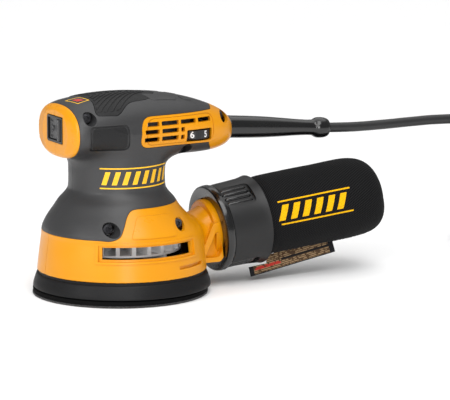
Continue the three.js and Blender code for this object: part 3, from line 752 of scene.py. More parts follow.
PRINT_YELLOW = (0.86, 0.45, 0.005)


def bag_print(tree, across, down, base):
    """Two plain stripes along the bag with slanted bars between them."""
    run = inside(tree, down, 43, 102.5)
    stripes = calc(tree, "ADD", inside(tree, across, -14.2, -13.1), inside(tree, across, 2.2, 3.3))
    slant = calc(tree, "SUBTRACT", calc(tree, "ADD", down, times(tree, across, 0.45)), 41)
    bars = inside(tree, calc(tree, "FRACT", calc(tree, "DIVIDE", slant, 9.6)), 0.0, 0.55)
    block = times(tree, inside(tree, across, -10.9, 0.0), inside(tree, slant, 0, 57))
    mask = calc(tree, "MAXIMUM", times(tree, run, stripes), times(tree, bars, block))
    worn = times(tree, mask, spread(tree, noise(tree, 700, 3), 0.25, 0.45, 0.7, 1))
    return mixed(tree, worn, base, (*PRINT_YELLOW, 1))


def tag_print(tree, across, down, base):
    """Woven tag: black border, dull lines and one red block."""
    field = times(tree, inside(tree, across, 0.8, 30), inside(tree, down, 3.4, 67))
    band = times(tree, inside(tree, across, 5.4, 6.9), inside(tree, down, 27, 80))
    field = times(tree, field, calc(tree, "SUBTRACT", 1.0, band))
    rows = inside(tree, calc(tree, "FRACT", calc(tree, "DIVIDE", across, 1.3)), 0.25, 0.8)
    broken = calc(tree, "GREATER_THAN", noise(tree, 380, 2), 0.47)
    lines = times(tree, field, times(tree, rows, broken))
    tan = mixed(tree, field, base, (0.1, 0.06, 0.035, 1))
    tan = mixed(tree, lines, tan, (0.42, 0.28, 0.15, 1))
    red = times(tree, inside(tree, down, 4, 26), inside(tree, across, 3.4, 5.6))
    return mixed(tree, times(tree, red, broken), tan, (0.6, 0.05, 0.04, 1))


TURNED = dict(grain=900, depth=0.06, edge=0.2, metal=1.0, mottle=0.1)
PRINTED = dict(depth=0.05, edge=0.05)
# colour, roughness, and what differs from plain moulded plastic
LOOKS = {
    "yellow_plastic": (
        (0.67, 0.262, 0.0), 0.32, dict(grain=1700, depth=0.08, wear=1.12, mottle=0.04, shine=0.35),
    ),
    "grip_rubber": ((0.026, 0.026, 0.027), 0.44, dict(grain=1500, depth=0.3, wear=1.8, edge=0.5)),
    "palm_rubber": ((0.011, 0.011, 0.0115), 0.5, dict(grain=620, depth=1.0, wear=1.8, edge=0.4, shine=0.25)),
    "switch_rubber": ((0.05, 0.05, 0.051), 0.4, dict(grain=1200, depth=0.3, wear=1.7)),
    "black_plastic": ((0.008, 0.008, 0.0085), 0.36, dict(grain=1500, depth=0.1, wear=2.2)),
    "grey_plastic": ((0.12, 0.12, 0.12), 0.5, {}),
    "dark_steel": ((0.05, 0.05, 0.055), 0.35, dict(grain=800, depth=0.15, metal=0.8, wear=3)),
    "steel": ((0.6, 0.61, 0.63), 0.28, TURNED),
    "copper": ((0.72, 0.33, 0.16), 0.35, TURNED),
    "brass": ((0.78, 0.58, 0.24), 0.25, TURNED),
    "carbon": ((0.03, 0.03, 0.032), 0.6, {}),
    "fan_plastic": ((0.97, 0.97, 0.975), 0.25, dict(grain=900, depth=0.05, edge=0.2, wear=1.1)),
    "pad_foam": ((0.003, 0.003, 0.003), 0.85, dict(grain=1900, depth=0.7, shine=0.1)),
    "skirt_rubber": ((0.007, 0.007, 0.0075), 0.5, dict(grain=700, depth=0.4, wear=1.5, edge=0.5, shine=0.2)),
    "gloss_black": ((0.003, 0.003, 0.0033), 0.22, dict(grain=500, depth=0.03, wear=3, edge=0.5, coat=0.35)),
    "sleeve_grey": (
        (0.008, 0.008, 0.0085), 0.42, dict(grain=1700, depth=0.15, wear=1.8, edge=0.5, shine=0.4),
    ),
    "cord_rubber": ((0.013, 0.013, 0.0135), 0.4, dict(grain=900, depth=0.12, wear=1.7)),
    "print_yellow": (PRINT_YELLOW, 0.5, PRINTED),
    "print_white": ((0.7, 0.7, 0.7), 0.5, PRINTED),
    "print_red": ((0.5, 0.03, 0.02), 0.5, PRINTED),
}
materials = {name: moulded(name, colour, roughness, **more)
             for name, (colour, roughness, more) in LOOKS.items()}
materials["hook_felt"] = felt("hook_felt", (0.008, 0.006, 0.005))
materials["bag_cloth"] = woven("bag_cloth", (0.0042, 0.0042, 0.0044), bag_print)
materials["tag_cloth"] = woven("tag_cloth", (0.01, 0.01, 0.011), tag_print, pitch=0.6)


def finish(made, look, body, replaced=()):
    """Gives a piece its material, its body and the CAD nodes that it stands for."""
    made.data.materials.clear()
    made.data.materials.append(materials[look])
    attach(made, body)
    if replaced:
        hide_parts(*replaced)
    return made


lead.data.materials.append(materials["cord_rubber"])
for entry in frame["record"]["subparts"]:
    shown = frame["nodes"][entry["node"]]
    shown.data.materials.clear()
    shown.data.materials.append(materials[entry["material_slot"]])

# ---- housing and its rubber ----

# How far things stand over the form's surface, and how far they go below it
INSERT_UP, TOP_PAD_UP, PANEL_UP, RIDGE_UP = 0.15, 0.35, 0.55, 0.6
FRAME_DEEP, PAD_DEEP, PALM_DEEP, WALL, COVER_DEEP = 0.5, 1.2, 1.5, 3.2, 9


def inner_base_room():
    return lathe("base_room", [(57.4, 10), (57.4, 20), (55.9, 31), (54.3, 44.5)], close=False)


def air_slot():
    through = prism("slot", sector(45, 70, -130, -58), "z", 33.4, 42)
    bevel = prism("bevel", sector(57.2, 70, -132.5, -55.5), "z", 31.9, 43.3)
    near = join(through, bevel)
    return join(near, mirrored(near, "far_slot"))


# level: spans in x of the near side's vents
NEAR_VENTS = {
    124.3: [(3.4, 12.8), (14.6, 28.6), (30.3, 43), (45, 56.4)],
    119: [(1.2, 12.6), (14.8, 28.4), (30.4, 33.4)],
    113.6: [(0.6, 12.6), (14.8, 28.4), (30.4, 33.4)],
}
FAR_VENTS = [(3.4, 28.6), (30.4, 55)]
VENT_HALF = 1.6


def vent_slots():
    tools = []
    for z, near_vents in NEAR_VENTS.items():
        for spans, low, high in ((near_vents, -45, -20), (FAR_VENTS, 20, 45)):
            for x0, x1 in spans:
                outline = rounded(x0, z - VENT_HALF, x1, z + VENT_HALF, 0.6, 3)
                tools.append(prism("vent", outline, "y", low, high))
    return tools


def groove(outline, axis, low, high, depth, width):
    """A narrow closed groove of that depth below the form's surface."""
    ring = prism("ring", grown(outline, width / 2), axis, low, high)
    cut(ring, prism("core", grown(outline, -width / 2), axis, low - 1, high + 1), copied(surfaces[-depth]))
    return ring


def raised(outline, axis, low, high, height):
    """A pad of that height over the form's surface."""
    pad = meet(prism("pad", outline, axis, low, high), copied(surfaces[height]))
    return cut(pad, copied(surfaces[-PAD_DEEP]))


def web():
    """The rib under the outlet, with a pocket on each side."""
    outline = soft_corners([(49, 19), (62.5, 47), (69, 48), (72.6, 25), (68, 19)], 1.5)
    made = prism("web", outline, "y", -22, 22)
    pocket = soft_corners([(55.3, 22.3), (64.4, 41), (67.2, 40), (69.6, 26.4), (66.6, 22.3)], 2.4)
    cut(made, prism("pocket", pocket, "y", -30, -17.5), prism("pocket", pocket, "y", 17.5, 30))
    clear = on_outlet(disc("clear", 60, -1.2, 40))
    ring = on_outlet(lathe("clear", [(22.2, -3.2), (60, -3.2), (60, 1), (22.2, 1)]))
    return cut(made, clear, ring)


def rim_and_spigot():
    """The outlet's round rim, with the spigot and its two lugs that the collar turns on."""
    rim_line = [(16, -7), (21, -6.6), (22, -5.2), (22, -1), (21.4, -0.2), (20.6, 0), (16, 0)]
    spigot_line = [(16.5, -2), (19.4, -2), (19.4, 16.4), (18.8, 17), (16.5, 17)]
    made = join(on_outlet(lathe("rim", rim_line)), on_outlet(lathe("spigot", spigot_line)))
    for turn in (90, -90):
        lug = prism("lug", sector(18.6, 21.6, turn - 12, turn + 12), "z", 10, 12.5)
        join(made, on_outlet(lug))
    return made


def strain_axis(made):
    """Moves a body drawn about +z on to the lead's axis at the back of the handle."""
    return moved(made, (81.8, 0, 112.8), 94.5, "Y")


def finish_halves(body, gap, piece, look, node):
    """Splits a body down the middle and finishes its left and its right half."""
    for side, name in ((-1, "left"), (1, "right")):
        half = block("half", -200, 200, *sorted((side * gap, side * 200)), -50, 200)
        made = meet(copied(body, f"{piece}_{name}"), half)
        finish(shaded(made, on_form=True), look, "housing", [f"{node}_{name}"])
    drop(body)


def make_housing():
    body = meet(copied(surfaces[0], "housing"), yellow_zones(0))
    panel = soft_corners([(-10.2, 62), (-18.8, 47.5), (17.6, 47.5), (18, 61.6)], 3)
    lip = meet(prism("lip", sector(50, 70, -134.6, -53.4), "z", 30.3, 44.9), copied(surfaces[PANEL_UP]))
    panels = [raised(panel, "y", -70, -25, PANEL_UP), raised(panel, "y", 25, 70, PANEL_UP)]
    join(body, lip, mirrored(lip, "far_lip"), *panels)
    join(body, web(), rim_and_spigot())
    bore_line = [(0.05, -40), (12.2, -40), (12.2, -12), (15, -7.6), (17.5, -4), (17.5, 30), (0.05, 30)]
    bore = on_outlet(lathe("bore", bore_line, close=False))
    cut(body, copied(surfaces[-WALL]), inner_base_room(), bore)
    cut(body, air_slot(), *vent_slots(), *screw_recesses())
    notch = prism("notch", sector(57.8, 70, -73, -45), "z", 23.6, 26)
    cut(body, mirrored(notch, "notch_far"), notch)
    frame_line = soft_corners([(1.9, 109.8), (58.5, 109.4), (58.5, 128.2), (4, 128.2)], 5.5)
    grooves = [groove(frame_line, "y", low, high, FRAME_DEEP, 0.7) for low, high in ((-50, -18), (18, 50))]
    cut(body, *grooves)
    window = prism("window", rounded(35.3, 109.4, 56.7, 118, 0.8, 3), "y", -45, -20)
    well = disc("well", DIAL_R + 0.4, DIAL_LOW - 0.5, DIAL_HIGH + 0.5, 64, *DIAL)
    tall = ROCKER_TALL + 2.2
    switch = block("switch", -70, -40, -12.5, 12.5, SWITCH[1] - tall, SWITCH[1] + tall)
    cut(body, window, well, switch, strain_axis(disc("bore", 8.2, -12, 8)))
    finish_halves(body, 0.2, "shell", "yellow_plastic", "housing")


def ridges():
    """Arrow-shaped ridges over the palm panel."""
    made = []
    for k in range(9):
        tip = 17.5 - 5.0 * k
        arm = [(tip, 0), (tip - 13, 11 + 0.4 * k), (tip - 34, 31)]
        line = smooth_line([(x, -y) for x, y in arm[:0:-1]] + arm, 8)
        made.append(prism("ridge", np.vstack([line, (line - [2.4, 0])[::-1]]), "z", 128, 160))
    return made


def make_palm_pad():
    outline = palm_outline(0)
    made = meet(prism("palm_pad_cover", outline, "z", 128, 160), copied(surfaces[INSERT_UP]))
    ribs = join(*ridges())
    meet(ribs, copied(surfaces[RIDGE_UP]), prism("field", grown(outline, -2.2), "z", 128, 160))
    join(made, ribs)
    cut(made, copied(surfaces[-PALM_DEEP]), *screw_recesses())
    finish(shaded(made, on_form=True), "palm_rubber", "housing", ["palm_pad"])


def make_covers():
    body = copied(surfaces[0], "cover")
    cut(body, yellow_zones(0.25), prism("palm", palm_outline(0.3), "z", 128, 160))
    side_pad = soft_corners([(-40, 108.5), (-11.5, 108), (-12, 125), (-40.5, 125)], 4)
    top_pads = [
        soft_corners([(10, -10), (13, -22), (34, -20), (36, -11)], 3),
        soft_corners([(39, -10), (40, -18), (48, -16), (49, -9)], 2.5),
    ]
    for sign in (-1, 1):
        low, high = sorted((sign * 18, sign * 60))
        cut(body, groove(side_pad, "y", low, high, PAD_DEEP, 1.9))
        insert = raised(grown(side_pad, -1.2), "y", low, high, INSERT_UP)
        insert.name = "side_pad_left" if sign < 0 else "side_pad_right"
        finish(shaded(insert, on_form=True), "palm_rubber", "housing")
        for pad in top_pads:
            join(body, raised(pad * [1, -sign], "z", 120, 160, TOP_PAD_UP))
    cut(body, copied(surfaces[-COVER_DEEP]), *screw_recesses())
    finish_halves(body, 0.12, "cover", "grip_rubber", "grip_cover")


PRINT_THICK = 0.04


def surface_patch(name, rows, look, lift=0.06):
    """A printed mark lying on the form, from rows of points near its surface."""
    rows = np.asarray(rows, float)
    layers = [settled(rows.reshape(-1, 3), level).reshape(rows.shape) for level in (lift - PRINT_THICK, lift)]
    made = skin_of_grid(name, *layers)
    finish(made, look, "housing")


def on_neck(angle, z):
    turn = math.radians(angle)
    return (NECK_X + NECK_R * math.cos(turn), NECK_R * math.sin(turn), z)


def make_neck_print():
    """Two plain stripes with slanted bars between them."""
    for name, z in (("lower", 80.2), ("upper", 94.2)):
        rows = [[on_neck(a, z + dz) for a in np.linspace(-136, -36, 60)] for dz in (-0.45, 0.45)]
        surface_patch(f"neck_stripe_{name}", rows, "print_yellow")
    for k in range(8):
        start = -134 + 12.3 * k
        across = np.linspace(start, start + 6, 6)
        rows = [[on_neck(a + 5 * t, 82.6 + 9.2 * t) for a in across] for t in np.linspace(0, 1, 7)]
        surface_patch(f"neck_bar_{k + 1}", rows, "print_yellow")


CROWN = 144  # a level near the top, from which the badge's points settle


def make_badge():
    """A blank outlined badge on the front of the crown."""
    corners = np.array([(-44.5, 1.5), (-32.5, 1), (-30.8, -12.5), (-41.5, -14.8)])
    middle = corners.mean(0)
    for k in range(4):
        a, b = corners[k], corners[(k + 1) % 4]
        inner = [p + (middle - p) * 0.12 for p in (a, b)]
        rows = [[(*(p + (q - p) * t), CROWN) for t in np.linspace(0, 1, 12)] for p, q in ((a, b), inner)]
        surface_patch(f"badge_edge_{k + 1}", rows, "print_yellow", lift=0.07)
    for name, look, share, lift in (("field", "gloss_black", 0.88, 0.05), ("block", "print_red", 0.42, 0.07)):
        p = middle + (corners - middle) * share
        rows = [[(*(p[0] + (p[1] - p[0]) * t + (p[3] - p[0]) * k), CROWN) for t in np.linspace(0, 1, 8)]
                for k in np.linspace(0, 1, 4)]
        surface_patch(f"badge_{name}", rows, look, lift=lift)


FINE, COARSE = 0.9, 1.6  # voxels; the coarse ones do for surfaces inside the walls
LEVELS = (0, INSERT_UP, TOP_PAD_UP, PANEL_UP, RIDGE_UP,
          -FRAME_DEEP, -PAD_DEEP, -PALM_DEEP, -WALL, -COVER_DEEP)
surfaces = {level: form(level, FINE if level > -1 else COARSE) for level in LEVELS}
make_housing()
make_covers()
make_palm_pad()
make_neck_print()
make_badge()
make_screws()
drop(*surfaces.values())

# ---- switch and dial ----

TILT_REST = -8


def make_switch():
    """A rocker about an upright pin, its two faces in a shallow V, in a black frame."""
    tall = ROCKER_TALL
    frame_in = rounded(-10.9, -tall - 0.4, 10.9, tall + 0.4, 1)
    frame_out = rounded(-12.3, -tall - 1.8, 12.3, tall + 1.8, 1.8)
    rim = prism("switch_bezel", np.array(frame_out) + [0, SWITCH[1]], "x", SWITCH[0] - 4.6, SWITCH[0] + 4)
    hole = prism("hole", np.array(frame_in) + [0, SWITCH[1]], "x", SWITCH[0] - 9, SWITCH[0] + 9)
    pin = disc("pin", 1.6, SWITCH[1] - tall - 3, SWITCH[1] + tall + 3, 24, SWITCH[0])
    finish(shaded(cut(rim, hole, pin)), "black_plastic", "housing", ["switch_frame"])

    face = soft_corners([(-4.8, -9.4), (-3, 0), (-4.8, 9.4), (1.2, 7.8), (2.4, 0), (1.2, -7.8)], 0.8)
    cap = prism("switch_rocker_cap", face, "z", -tall, tall)
    join(cap, disc("pin", 1.5, -tall - 0.9, tall + 0.9, 24))
    for side in (-1, 1):
        for k in range(3):
            low, high = sorted((side * (8.4 - 1.5 * k), side * (7.7 - 1.5 * k)))
            cut(cap, block("groove", -6, -4.25 + 0.25 * k, low, high, -3.6, 3.6))
        low, high = sorted((side * (tall - 2.8), side * (tall - 1.2)))
        cut(cap, block("shelf", -6, -3.7, -7.4, 7.4, low, high))
    ring = disc("mark", 2.1, -0.5, 0.5, 40)
    cut(ring, disc("core", 1.5, -1, 1, 40))
    join(cap, moved(ring, (-4.1, 4.6, 0), -101, "Y"))
    moved(cap, (SWITCH[0], 0, SWITCH[1]), TILT_REST)
    finish(shaded(cap), "switch_rubber", "rocker", ["switch_rocker"])


NUMBER_STEP = 50
FIRST_NUMBER = 135


def make_dial():
    wheel = lathe("dial_wheel", [
        (2.1, DIAL_LOW), (11.9, DIAL_LOW), (DIAL_R, DIAL_LOW + 0.5), (DIAL_R, DIAL_HIGH - 0.5),
        (11.9, DIAL_HIGH), (2.1, DIAL_HIGH),
    ], 144, *DIAL)
    for k in range(6):
        for shift in (-9, -3, 3, 9):
            turn = math.radians(FIRST_NUMBER - NUMBER_STEP * (k + 0.5) + shift)
            x, y = DIAL[0] + DIAL_R * math.cos(turn), DIAL[1] + DIAL_R * math.sin(turn)
            cut(wheel, disc("groove", 0.45, DIAL_LOW - 1, DIAL_HIGH + 1, 12, x, y))
    finish(shaded(wheel), "black_plastic", "dial", ["speed_dial"])
    for number in range(1, 7):
        make_number(number, FIRST_NUMBER - NUMBER_STEP * (number - 1))


def make_number(number, angle):
    """A figure on the dial's rim, bent round it."""
    words = bpy.data.curves.new("figure", "FONT")
    words.body = str(number)
    words.size = 6.4 * MM
    words.align_x = words.align_y = "CENTER"
    words.extrude = 0.03 * MM
    words.offset = 0.12 * MM
    flat = placed("figure", words)
    made = placed(f"dial_number_{number}", evaluated(flat))
    drop(flat)
    for vertex in made.data.vertices:
        across, up, out = vertex.co / MM
        turn = math.radians(angle) + across / DIAL_R
        reach = DIAL_R + 0.05 + out
        z = (DIAL_LOW + DIAL_HIGH) / 2 + up
        vertex.co = Vector((DIAL[0] + reach * math.cos(turn), DIAL[1] + reach * math.sin(turn), z)) * MM
    finish(made, "print_white", "dial")


# ---- skirt, pad and fan ----

PAD_X = -1.3


def pad_holes(low, high):
    """Eight dust holes and three for the screws."""
    tools = []
    for count, radius, circle, first in ((8, 5, 32.5, 22.5), (3, 4.2, 12, 30)):
        for k in range(count):
            turn = math.radians(first + 360 / count * k)
            x, y = PAD_X + circle * math.cos(turn), circle * math.sin(turn)
            tools.append(disc("hole", radius, low, high, 40, x, y))
    return tools


def make_pad():
    foam_line = [(56.6, 6.2), (57.4, 6.0), (62.1, 4.5), (62.4, 4.1), (62.2, 3.0), (62.4, 1.9), (62.0, 1.7)]
    foam = lathe("pad_cushion", [(1, 1.7), (1, 6.2), *foam_line], 192, PAD_X)
    filled = disc("middle", 2, 1.7, 6.2, 32, PAD_X)
    cut(join(foam, filled), *pad_holes(-1, 6.15))
    finish(shaded(foam), "pad_foam", "pad", ["foam_pad"])
    rng = np.random.default_rng(7)
    around = 900
    turn = full_turn(around)
    rings = []
    for level, reach in ((0, 61.6), (0.35, 62.3), (0.8, 62.4), (1.15, 62.2), (1.4, 61.7)):
        r = reach + rng.normal(0, 0.14, around).clip(-0.3, 0.3)
        z = np.full(around, level) + (rng.uniform(-0.12, 0.12, around) if 0 < level < 1.4 else 0)
        rings.append(np.c_[PAD_X + r * np.cos(turn), r * np.sin(turn), z])
    hook = skinned("pad_hook_layer", rings)
    cut(hook, *pad_holes(-1, 3))
    finish(hook, "hook_felt", "pad", ["hook_face"])


def make_skirt():
    outer = smooth_line([
        (61.5, 5.5), (63.1, 5.6), (63.3, 6.4), (62.9, 8.6), (62.0, 11.4), (60.9, 14.5), (60.2, 15.3),
        (59.4, 15.4),
    ], 4)
    inner = [(59.4, 17.2), (56.2, 17.2), (56.2, 23.5), (54.6, 23.5), (54.6, 16), (61.0, 7.4)]
    made = lathe("dust_skirt", [*outer, *inner], 192)
    finish(shaded(made, 40), "skirt_rubber", "housing", ["skirt"])


def make_fan():
    plate = lathe("fan_wheel", [
        (4.05, 24.8), (9, 24.8), (9, 30), (42, 31.8), (42, 33.2), (9, 33.4), (9, 43), (4.05, 43),
    ], 138)
    for count, inner, outer, low, high in ((23, 20, 41.7, 32.8, 42.6), (5, 22, 40, 23, 32)):
        reach = np.linspace(inner, outer, 8)
        share = (reach - inner) / (outer - inner)
        bend, half = 3.2 * share**2, 0.6 + 0.9 * share**3
        outline = np.vstack([np.c_[reach, bend - half], np.c_[reach, bend + half][::-1]])
        for k in range(count):
            blade = prism("blade", outline, "z", low, high)
            blade.data.transform(Matrix.Rotation(2 * math.pi * k / count + math.radians(1), 4, "Z"))
            join(plate, blade)
    finish(shaded(plate), "fan_plastic", "rotor", ["fan"])


# ---- collar and dust bag, drawn with z = 0 at the rim plane ----

POCKETS = (95, 215, 335)
GRIP_R = 29.1


def pocket_shape(inner, outer, inset):
    outline = rounded(-9.5 + inset, 2.5 + inset, 9.5 - inset, 27 - inset, 3.2 - inset, 6)
    return prism("pocket", outline, "x", inner, outer)


def make_collar():
    sleeve = lathe("collar_sleeve", [
        (29.9, 4.3), (30.3, 4.5), (30.6, 10), (30.9, 20), (31.3, 28), (31.9, 32), (32.35, 33.7), (32, 34),
        (28.2, 34), (28.2, 30.2), (27.2, 30.2), (27.2, 26.6), (24.8, 26.6), (24.8, 9.6), (24.8, 4.3),
    ], 192)
    ring = lathe("collar_ring", [
        (22.5, -2.3), (22.9, -2.5), (30, -2.5), (30.9, -1.8), (31.3, 0), (31.4, 2.2), (31.0, 3.3),
        (30.2, 4.2), (24.8, 4.3), (24.8, 9.6), (20.2, 9.6), (20.2, 6), (22.5, 6),
    ], 192)
    for turn in (90, -90):
        cut(ring, prism("entry", sector(15, 22.4, turn - 17, turn + 17), "z", 5, 11))
    for number, turn in enumerate(POCKETS, 1):
        hollow = moved(pocket_shape(29, 40, 0), degrees=turn)
        cut(sleeve, hollow, keep=True)
        cut(ring, hollow)
        floor = lathe("floor", [(27.6, 0), (GRIP_R, 0), (GRIP_R, 30), (27.6, 30)], 192)
        grip = meet(pocket_shape(27, 40, 0.05), floor)
        for y in (-6.3, -2.1, 2.1, 6.3):
            line = [(0.05, 4.2), (0.8, 4.5), (1.45, 6), (1.45, 23.4), (0.8, 25), (0.05, 25.3)]
            rib = lathe("rib", line, 20, math.sqrt(GRIP_R**2 - y * y) - 0.1, y, close=False)
            join(grip, rib)
        grip.name = f"collar_grip_{number}"
        finish(shaded(on_outlet(moved(grip, degrees=turn)), 50), "gloss_black", "collar")
    finish(shaded(on_outlet(sleeve)), "sleeve_grey", "collar", ["bag_collar"])
    finish(shaded(on_outlet(ring)), "gloss_black", "collar")


BAG_SEAM = -17  # where the tag is sewn in, from straight down
BAG_LINE = [
    (26.6, 34.4), (27.9, 37.5), (28.7, 42), (29.0, 50), (29.1, 66), (29.2, 84), (29.3, 100), (29.2, 112),
    (28.6, 119), (27.2, 124.6), (24.8, 129), (21.2, 132.2), (16, 134), (10, 134.8), (3, 135), (0.05, 135),
]


def bag_lift(s):
    """How far the cloth stands over the outlet's axis: it is pulled up at the mouth, and sinks behind it."""
    return 1.5 * clamped((s - 34) / 8) * (1 - clamped((s - 42) / 100))


def make_bag():
    """A sewn cloth sleeve that sags a little between its mouth and its closed end."""
    rng = np.random.default_rng(3)
    around = 240
    line = smooth_line(BAG_LINE, 8)
    turn = full_turn(around)
    seam = np.degrees((turn - math.radians(BAG_SEAM) + np.pi) % (2 * np.pi) - np.pi)
    # waves round the bag, their height, phase and twist along it
    folds = [(rng.integers(2, 9), rng.uniform(0.01, 0.05), rng.uniform(0, 6.28), rng.uniform(0.03, 0.2))
             for _ in range(10)]
    rings = []
    for r, s in line:
        free = math.sin(math.pi * clamped((s - 36) / 90))
        gather = 0.4 * np.sin(s * 1.35 + 0.05 * seam) * np.exp(-(np.abs(seam) / 20)) * free
        welt = -0.55 * np.exp(-((seam / 2.2) ** 2)) * min(1, r / 12)
        slack = sum(a * np.sin(n * turn + p + w * s) for n, a, p, w in folds)
        reach = r + gather + welt + slack * free * min(1, r / 20)
        droop = 2.6 * np.maximum(0, np.cos(turn)) * clamped((s - 104) / 20)
        rings.append(np.c_[reach * np.cos(turn) - bag_lift(s), reach * np.sin(turn), s + droop])
    outer = len(rings)
    for r, s in ((25.3, 34.4), (26.2, 40), (26.9, 50), (27.8, 108), (25.4, 124), (15, 132.2), (0.05, 133.6)):
        rings.append(np.c_[r * np.cos(turn), r * np.sin(turn), np.full(around, s)])
    inner = rings[outer:][::-1]
    made = skinned("bag_cloth_sleeve", [*inner, *rings[:outer]])
    lengths = np.cumsum([0, *np.hypot(*np.diff(line, axis=0).T)]) + line[0][1]
    give_cloth_map(made, [0] * len(inner) + list(lengths), around)
    finish(shaded(on_outlet(made), 60), "bag_cloth", "bag", ["dust_bag"])
    stitch_seam(line)
    make_tag()


NEAR_SIDE = 270
CLOTH_R = 28.3


def give_cloth_map(made, lengths, around):
    """UV in mm: across, 0 at the near side, and along."""
    uv = made.data.uv_layers.new(name="cloth")
    for face in made.data.polygons:
        corners = [made.data.loops[k].vertex_index for k in face.loop_indices]
        turns = [v % around / around * 360 for v in corners]
        if max(turns) - min(turns) > 180:
            turns = [t + 360 if t < 180 else t for t in turns]
        off = sum(turns) / len(turns) - NEAR_SIDE
        shift = -360 if off > 180 else 360 if off < -180 else 0
        for k, v, turn in zip(face.loop_indices, corners, turns):
            uv.data[k].uv = ((turn + shift - NEAR_SIDE) / 360 * 2 * math.pi * CLOTH_R, lengths[v // around])


STITCH_LINE = [(0.05, -1.1), (0.28, -0.8), (0.34, 0), (0.28, 0.8), (0.05, 1.1)]


def stitch_seam(line):
    """Two rows of short stitches beside the seam."""
    made = None
    for side in (-1, 1):
        for s in np.arange(44, 118, 3.2):
            r = np.interp(s, line[:, 1], line[:, 0]) - 0.05
            turn = math.radians(BAG_SEAM + side * 7.5)
            stitch = lathe("stitch", STITCH_LINE, 8, close=False)
            moved(stitch, (r * math.cos(turn) - bag_lift(s), r * math.sin(turn), s))
            made = join(made, stitch) if made else stitch
    made.name = "bag_stitches"
    finish(shaded(on_outlet(made), 80), "cord_rubber", "bag")


TAG_START, TAG_LENGTH = 22.2, 71
TAG_DEEP, TAG_TAPER = 40.7, 4.2


def make_tag():
    """A folded woven label held in the seam."""
    shares = np.linspace(0, 1, 14)
    places = np.linspace(0, 1, 73)
    grids = []
    for side in (-0.28, 0.28):
        grid = np.empty((len(places), len(shares), 3))
        for i, along in enumerate(places):
            for k, out in enumerate(shares):
                s = TAG_START + TAG_LENGTH * along
                held = 27.6 if s > 37 else 33.6
                edge = TAG_DEEP - TAG_TAPER * along
                wave = 0.5 * out * math.sin(s * 0.11 + 0.6) + 0.25 * out * math.sin(s * 0.31)
                grid[i, k] = (held + (edge - held) * out, wave + side, s)
        grids.append(grid)
    made = skin_of_grid("bag_tag_label", *grids)
    uv = made.data.uv_layers.new(name="cloth")
    for loop in made.data.loops:
        x, _, z = made.data.vertices[loop.vertex_index].co / MM
        uv.data[loop.index].uv = (TAG_DEEP - TAG_TAPER * (z - TAG_START) / TAG_LENGTH - x, z - TAG_START)
    moved(made, degrees=BAG_SEAM)
    finish(shaded(on_outlet(made), 60), "tag_cloth", "bag", ["bag_tag"])


# ---- strain relief, plug and tie ----


def make_strain_relief():
    flange = [(0.05, -8.3), (10.2, -8.3), (10.2, -5.2), (7.9, -5.2)]
    taper = smooth_line([
        (7.9, 1.6), (8.2, 2.6), (8.15, 8), (8.0, 20), (7.6, 33), (6.9, 46), (6.1, 58), (5.7, 67), (5.7, 72),
    ], 3)
    bulb = smooth_line([(5.9, 73.4), (6.7, 74.6), (7.4, 76.4), (7.6, 79), (7.4, 82), (6.6, 84.6), (5, 86)], 3)
    made = lathe("cord_boot", [*flange, *taper, *bulb, (0.05, 86)], 72, close=False)
    finish(shaded(strain_axis(made), 60), "gloss_black", "housing", ["strain_relief"])


PLUG_X, PLUG_Z = 314.6, 8.5
BLADE_HOLE_Y = -69.6


PLUG_TALL = 8.2
PLUG_SQUARE = 0.62


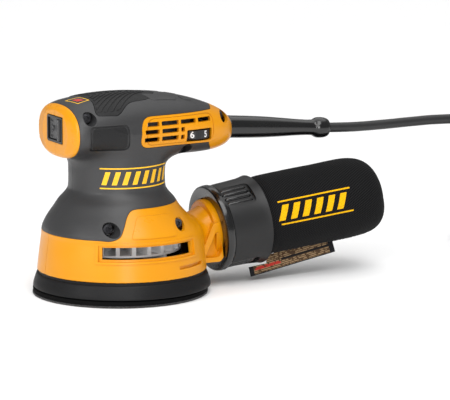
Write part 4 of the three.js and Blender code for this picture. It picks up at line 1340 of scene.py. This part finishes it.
def make_plug():
    """A moulded grip with ridges, its section squarer than an ellipse, and two pierced blades."""
    turn = full_turn(64)
    rows = [  # y, half width, half height
        (-19.3, 4.6, 4.2), (-20.4, 5.3, 4.9), (-25, 5.6, 5.4), (-31, 6.6, 6.2), (-35, 9.4, 7.3),
        (-39, 11.8, 8), (-43, 12.3, 8.1), (-49, 12.4, 8.15), (-54, 12.5, 8.2), (-56.6, 12.5, 8.2),
        (-57.2, 12, 7.7),
    ]
    rings = []
    for y, half, tall in smooth_line(rows, 6):
        ridge = 0.35 * max(0, math.sin((y + 36) * 2 * math.pi / 3)) if -51 < y < -39 else 0
        c, s = np.cos(turn), np.sin(turn)
        wide = np.sign(c) * np.abs(c) ** PLUG_SQUARE * (half - ridge)
        high = np.sign(s) * np.abs(s) ** PLUG_SQUARE * min(tall, PLUG_TALL)
        rings.append(np.c_[PLUG_X + wide, np.full_like(turn, y), PLUG_Z + high])
    finish(shaded(skinned("plug_grip", rings), 50), "cord_rubber", "housing", ["plug_body"])
    for side, label in ((-1, "a"), (1, "b")):
        x = PLUG_X + side * 6.35
        outline = rounded(-73.2, PLUG_Z - 3.2, -57.2, PLUG_Z + 3.2, 1.6, 5)
        blade = prism(f"plug_pin_{label}", outline, "x", x - 0.75, x + 0.75)
        hole = disc("hole", 1.55, x - 2, x + 2, 24)
        hole.data.transform(Matrix((
            (0, 0, 1, 0), (1, 0, 0, BLADE_HOLE_Y * MM), (0, 1, 0, PLUG_Z * MM), (0, 0, 0, 1),
        )))
        finish(shaded(cut(blade, hole)), "brass", "housing", [f"plug_blade_{label}"])


def make_tie():
    strap = prism("coil_strap", rounded(389.5, 0.02, 414.2, 24, 3.4, 6), "y", 29, 37)
    cut(strap, prism("hole", rounded(390.3, 0.8, 413.4, 23.2, 2.8, 6), "y", 20, 45))
    tab = prism("tab", rounded(394, 23.4, 406, 24, 0.25, 3), "y", 29.4, 36.6)
    finish(shaded(join(strap, tab)), "hook_felt", "housing", ["cord_tie"])


make_switch()
make_dial()
make_pad()
make_skirt()
make_fan()
make_collar()
make_bag()
make_strain_relief()
make_plug()
make_tie()

# ---- lights and floor ----


# kind, power, angle or size, place and aim in metres
LIGHTS = [
    ("key", "SUN", 1.3, 0.7, (-0.1, -1.0, 1.8), (0, 0, 0)),
    ("wash", "SUN", 1.1, 1.2, (0.3, 0.4, 1.6), (0, 0, 0)),
    ("fill", "SUN", 0.55, 0.3, (-0.35, -1.0, 0.12), (0, 0, 0)),
    ("card", "AREA", 7, 0.9, (-0.5, -1.0, 0.75), (0.05, 0, 0.09)),
    ("side", "AREA", 4, 0.5, (-1.0, -0.25, 0.45), (0, 0, 0.09)),
]


def make_stage():
    floor = block("floor", -9000, 9000, -9000, 9000, -20, -0.05)
    look, tree, shader = start_material("floor")
    shade = mixed(tree, noise(tree, 3, 4), (0.965, 0.965, 0.965, 1), (0.98, 0.98, 0.98, 1))
    feed(tree, shader, {"Base Color": shade, "Roughness": 0.9, "Specular IOR Level": 0.1})
    floor.data.materials.append(look)
    for name, kind, power, size, place, aim in LIGHTS:
        data = bpy.data.lights.new(name, kind)
        data.energy = power
        if kind == "SUN":
            data.angle = size
        else:
            data.size = size
        light = placed(name, data)
        light.location = place
        light.rotation_euler = (Vector(aim) - Vector(place)).to_track_quat("-Z", "Y").to_euler()
    world = bpy.data.worlds.new("world")
    world.use_nodes = True
    feed(world.node_tree, world.node_tree.nodes["Background"], {"Color": (1, 1, 1, 1), "Strength": 0.3})
    bpy.context.scene.world = world
    bpy.context.scene.view_settings.view_transform = "Standard"


make_stage()
